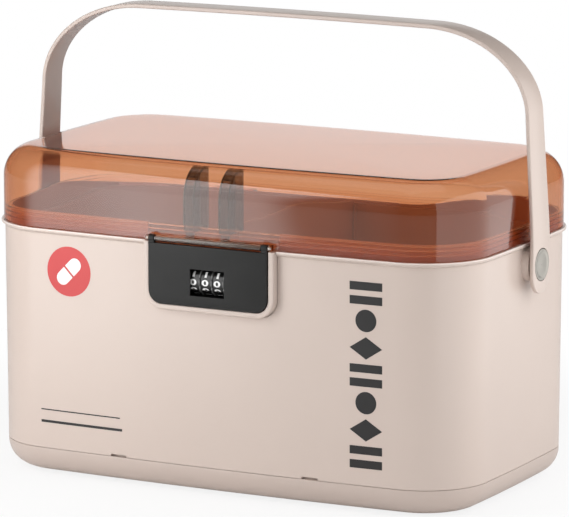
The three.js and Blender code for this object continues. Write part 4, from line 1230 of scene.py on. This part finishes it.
def tray_divider():
    """A plate whose upper edge follows the lip; its long edges are rounded."""
    low, high = node("tray_divider")
    centre = (low.x + high.x) / 2
    half = (high.x - low.x) / 2
    rings = []
    for y in marks(low.y, high.y, DIVIDER_STEPS):
        top = RIM + lip_rise(centre, y) - DIVIDER_DROP
        right = [(half - along, top - drop) for drop, along in rounding(DIVIDER_EDGE)]
        left = [(-x, z) for x, z in reversed(right)]
        rings.append([(centre + x, y, z) for x, z in [(-half, low.z), (half, low.z), *right, *left]])
    obj = stack("tray_divider_plate", rings)
    return dress(obj, "tray", "tray_plastic", inner_beige, "tray_divider")


# Printed marks on the front wall: a plain disc with a capsule shape, a column of plain marks, two rules

PRINT_LIFT = 0.06
PRINT_STRIP = 3
BADGE_CENTRE = (-91.2, 120)
BADGE_RADIUS = 14.2
CAPSULE_SIZE = (19, 8)
CAPSULE_TILT = 45
CAPSULE_SEAM = 0.07
COLUMN_X = 94
COLUMN_TOP = 132
COLUMN_BOTTOM = 25.5
COLUMN_HALF = 9.7
COLUMN_MARKS = 7
# Half a mark's height as a share of the pitch, and half the gap between two bars as a share of that
MARK_SHARE = 0.41
BAR_GAP = 0.25
# Start, end, height and width of each rule
RULES = ((-110.6, -58.9, 39.4, 0.7), (-110.6, -57.5, 32.6, 1.5))


def printed(name, outlines, material, lift=PRINT_LIFT):
    """Flat shapes given as closed outlines of (x, z), laid on the front wall."""
    work = bmesh.new()
    for outline in outlines:
        work.faces.new([work.verts.new((x, 0, z)) for x, z in outline])
    bmesh.ops.triangulate(work, faces=work.faces)
    for axis in (0, 2):
        values = [v.co[axis] for v in work.verts]
        low, high = min(values), max(values)
        slice_up(work, axis, between(low, high, max(2, int((high - low) / PRINT_STRIP))))
    work.verts.index_update()
    places = [(v.co.x, v.co.z) for v in work.verts]
    points = [(x, -wall_y(x, body_inset(z)) - lift, z) for x, z in places]
    faces = [tuple(v.index for v in face.verts) for face in work.faces]
    work.free()
    return dress(mesh_object(name, points, faces), "box", "beige_shell", material)


def disc(x, z, radius, steps=48):
    return [(x + radius * math.cos(a), z + radius * math.sin(a)) for a in arc(0, 360, steps)[:-1]]


def bar(x0, x1, z0, z1):
    return [(x0, z0), (x1, z0), (x1, z1), (x0, z1)]


def half_capsule(x, z, length, width, angle):
    """The right half of a pill outline, tilted by an angle in degrees about the pill's middle."""
    radius = width / 2
    seam = width * CAPSULE_SEAM
    outline = [(length / 2 - radius + radius * math.cos(a), radius * math.sin(a)) for a in arc(-90, 90, 12)]
    turn = math.radians(angle)
    return [(x + u * math.cos(turn) - v * math.sin(turn), z + u * math.sin(turn) + v * math.cos(turn))
            for u, v in [*outline, (seam, radius), (seam, -radius)]]


def badge():
    printed("badge_disc", [disc(*BADGE_CENTRE, BADGE_RADIUS)], red_ink)
    halves = [half_capsule(*BADGE_CENTRE, *CAPSULE_SIZE, CAPSULE_TILT + turn) for turn in (0, 180)]
    printed("badge_capsule", halves, white_ink, 2 * PRINT_LIFT)


def column_marks():
    """Plain marks of one size, none of them a letter."""
    pitch = (COLUMN_TOP - COLUMN_BOTTOM) / COLUMN_MARKS
    half = pitch * MARK_SHARE
    left, right = COLUMN_X - COLUMN_HALF, COLUMN_X + COLUMN_HALF
    outlines = []
    for k in range(COLUMN_MARKS):
        z = COLUMN_TOP - pitch * (k + 0.5)
        outlines += (
            [bar(left, right, z + half * BAR_GAP, z + half), bar(left, right, z - half, z - half * BAR_GAP)],
            [disc(COLUMN_X, z, half)],
            [[(left, z), (COLUMN_X, z - half), (right, z), (COLUMN_X, z + half)]],
        )[k % 3]
    printed("column_marks", outlines, black_ink)


def rules():
    printed("front_rules", [bar(x0, x1, z - w / 2, z + w / 2) for x0, x1, z, w in RULES], black_ink)


# Pieces that keep their solid's shape
refinish("lock_case", black)
for name in ("lock_staple", "staple_screw_1", "staple_screw_2", "hinge_pin_left", "hinge_pin_right",
             "handle_nut_left", "handle_nut_right", "handle_washer_left", "handle_washer_right",
             "bracket_screw_left", "bracket_screw_right", "case_screw_1", "case_screw_2", "dial_detent",
             "bolt_spring", "lock_bolt"):
    refinish(name, steel)

body_shell()
base_pan()
for index in FEET:
    foot(index)
lock_bezel()
lid()
clasp_bracket("clasp_bracket_left")
clasp_bracket("clasp_bracket_right")
clasp_pin()
lock_panel()
for index in DIALS:
    number_dial(index)
handle_strap()
handle_pin("handle_pin_left", -1)
handle_pin("handle_pin_right", 1)
lift_tray()
tray_divider()
badge()
column_marks()
rules()


# Stage: floor and light. Places and sizes are in metres here.

FLOOR_HALF = 6
FLOOR_GREY = (0.93, 0.93, 0.93)
# How far from the box's middle the floor's own white starts and ends to rise, and its range
GLOW_DISTANCE = (0.2, 0.43)
GLOW_RANGE = (0.84, 1)
# The white backdrop as gloss mirrors it: its direction, and the angles at which it ends and starts to darken
BACKDROP_DIRECTION = Vector((-0.455, 0.88, 0.12)).normalized()
BACKDROP_ANGLES = (15, 9)
BACKDROP_RANGE = (0.06, 1)
WORLD_LIGHT = 0.34


def floor():
    """White by itself to the camera: partly near the box, wholly farther away."""
    corners = [(-1, -1), (1, -1), (1, 1), (-1, 1)]
    reach = FLOOR_HALF / MM
    obj = mesh_object("floor", [(x * reach, y * reach, cad_low.z / MM) for x, y in corners], [(0, 1, 2, 3)])
    material, tree, shader = new_material("floor")
    feed(tree, shader, {
        "Base Color": tint(tree, noise(tree, 4), FLOOR_GREY, 1, 0.98),
        "Roughness": 0.9,
        "Specular IOR Level": 0,
    })
    place = add(tree, "TexCoord", output="Object")
    distance = add(tree, "VectorMath", {0: place}, "Value", operation="LENGTH")
    glow = remap(tree, distance, GLOW_DISTANCE, GLOW_RANGE, "SMOOTHSTEP")
    seen = either_ray(tree, "Is Camera Ray", "Is Transmission Ray")
    share = add(tree, "Math", {0: seen, 1: glow}, operation="MULTIPLY")
    surface = mixed(tree, share, shader.outputs["BSDF"], add(tree, "Emission"))
    feed(tree, tree.nodes["Material Output"], {"Surface": surface})
    obj.data.materials.append(material)


def world():
    """Plain light all round. Gloss mirrors a white backdrop behind the box, with dark cards on both sides."""
    studio = bpy.data.worlds.new("studio")
    bpy.context.scene.world = studio
    studio.use_nodes = True
    tree = studio.node_tree
    tree.nodes.clear()
    direction = add(tree, "TexCoord", output="Generated")
    toward = add(tree, "VectorMath", {0: direction, 1: BACKDROP_DIRECTION}, "Value", operation="DOT_PRODUCT")
    cosines = [math.cos(math.radians(angle)) for angle in BACKDROP_ANGLES]
    backdrop = remap(tree, toward, cosines, BACKDROP_RANGE, "SMOOTHSTEP")
    soft, mirrored, white = [add(tree, "Background", {"Color": WHITE, "Strength": strength})
                             for strength in (WORLD_LIGHT, backdrop, 1)]
    glossy = add(tree, "LightPath", output="Is Glossy Ray")
    seen = either_ray(tree, "Is Camera Ray", "Is Transmission Ray")
    surface = mixed(tree, seen, mixed(tree, glossy, soft, mirrored), white)
    feed(tree, tree.nodes.new("ShaderNodeOutputWorld"), {"Surface": surface})


def area_lamp(name, shape, size, power):
    """A flat lamp that the camera sees neither directly nor through the lid."""
    lamp = bpy.data.lights.new(name, "AREA")
    lamp.shape = shape
    lamp.size = size
    lamp.energy = power
    obj = link(name, lamp)
    obj.visible_camera = False
    obj.visible_transmission = False
    return obj


def fade_along(lamp, stops):
    """Lets a lamp's strength follow the stops along its length; each stop is a place and a share."""
    lamp.use_nodes = True
    tree = lamp.node_tree
    surface = add(tree, "NewGeometry", output="Parametric")
    place = add(tree, "SeparateXYZ", {"Vector": surface}, "X")
    strength = ramp(tree, place, [(at, (share, share, share)) for at, share in stops], "EASE")
    feed(tree, tree.nodes["Emission"], {"Strength": strength})


def panel(name, start, end, height, radiance, fade=()):
    """An upright light panel on the floor between two places; fade gives its strength along it."""
    start, end = Vector((*start, 0)), Vector((*end, 0))
    width = (end - start).length
    obj = area_lamp(name, "RECTANGLE", width, radiance * width * height * math.pi)
    obj.data.size_y = height
    along = (end - start).normalized()
    up = Vector((0, 0, 1))
    backward = along.cross(up).dot(start + end) < 0
    if backward:
        along = -along
    turn = Matrix((along, up, along.cross(up))).transposed().to_4x4()
    obj.matrix_world = Matrix.Translation((start + end) / 2 + up * height / 2) @ turn
    if fade:
        fade_along(obj.data, [(1 - at, share) if backward else (at, share) for at, share in fade])


def softbox(name, direction, distance, size, power, mirrored=True):
    """A square lamp that looks at the box from a direction."""
    obj = area_lamp(name, "SQUARE", size, power)
    away = Vector(direction).normalized()
    obj.location = (cad_low + cad_high) / 2 + away * distance
    obj.rotation_mode = "QUATERNION"
    obj.rotation_quaternion = away.to_track_quat("Z", "Y")
    obj.visible_glossy = mirrored


floor()
world()
panel("front_left_panel", (-0.46, -0.226), (-0.05, -0.62), 0.62, 4.2,
      fade=((0, 0), (0.4, 0.75), (0.5, 1), (0.68, 0.7), (0.77, 0.1), (1, 0.02)))
panel("right_panel", (0.36, -0.31), (0.36, 0.47), 0.44, 1.25)
softbox("top_light", (-0.1, 0.1, 1.0), 1.5, 1.1, 1.6)
softbox("front_fill", (0.25, -1.0, 0.6), 1.6, 0.9, 1.5, mirrored=False)
softbox("back_fill", (-0.2, 1.0, 0.25), 1.6, 0.9, 5, mirrored=False)


# Camera: the photograph's viewpoint, from the camera that was fitted to its outlines

CAMERA_AZIMUTH = 27.3626
CAMERA_ELEVATION = 10.7662
CAMERA_PLACE = (1198.206, -2313.049, 616.616)
FOCAL_PIXELS = 4688.11
IMAGE_WIDTH = 569
SENSOR_WIDTH = 36


def camera():
    data = bpy.data.cameras.new("camera")
    data.sensor_width = SENSOR_WIDTH
    data.sensor_fit = "HORIZONTAL"
    data.lens = FOCAL_PIXELS / IMAGE_WIDTH * SENSOR_WIDTH
    data.clip_start = 0.1
    data.clip_end = 50
    obj = link("camera", data)
    a, e = math.radians(CAMERA_AZIMUTH), math.radians(CAMERA_ELEVATION)
    back = Vector((math.sin(a) * math.cos(e), -math.cos(a) * math.cos(e), math.sin(e)))
    obj.location = Vector(CAMERA_PLACE) * MM
    obj.rotation_mode = "QUATERNION"
    obj.rotation_quaternion = (-back).to_track_quat("-Z", "Y")
    bpy.context.scene.camera = obj


camera()
bpy.context.scene.view_settings.view_transform = "Standard"
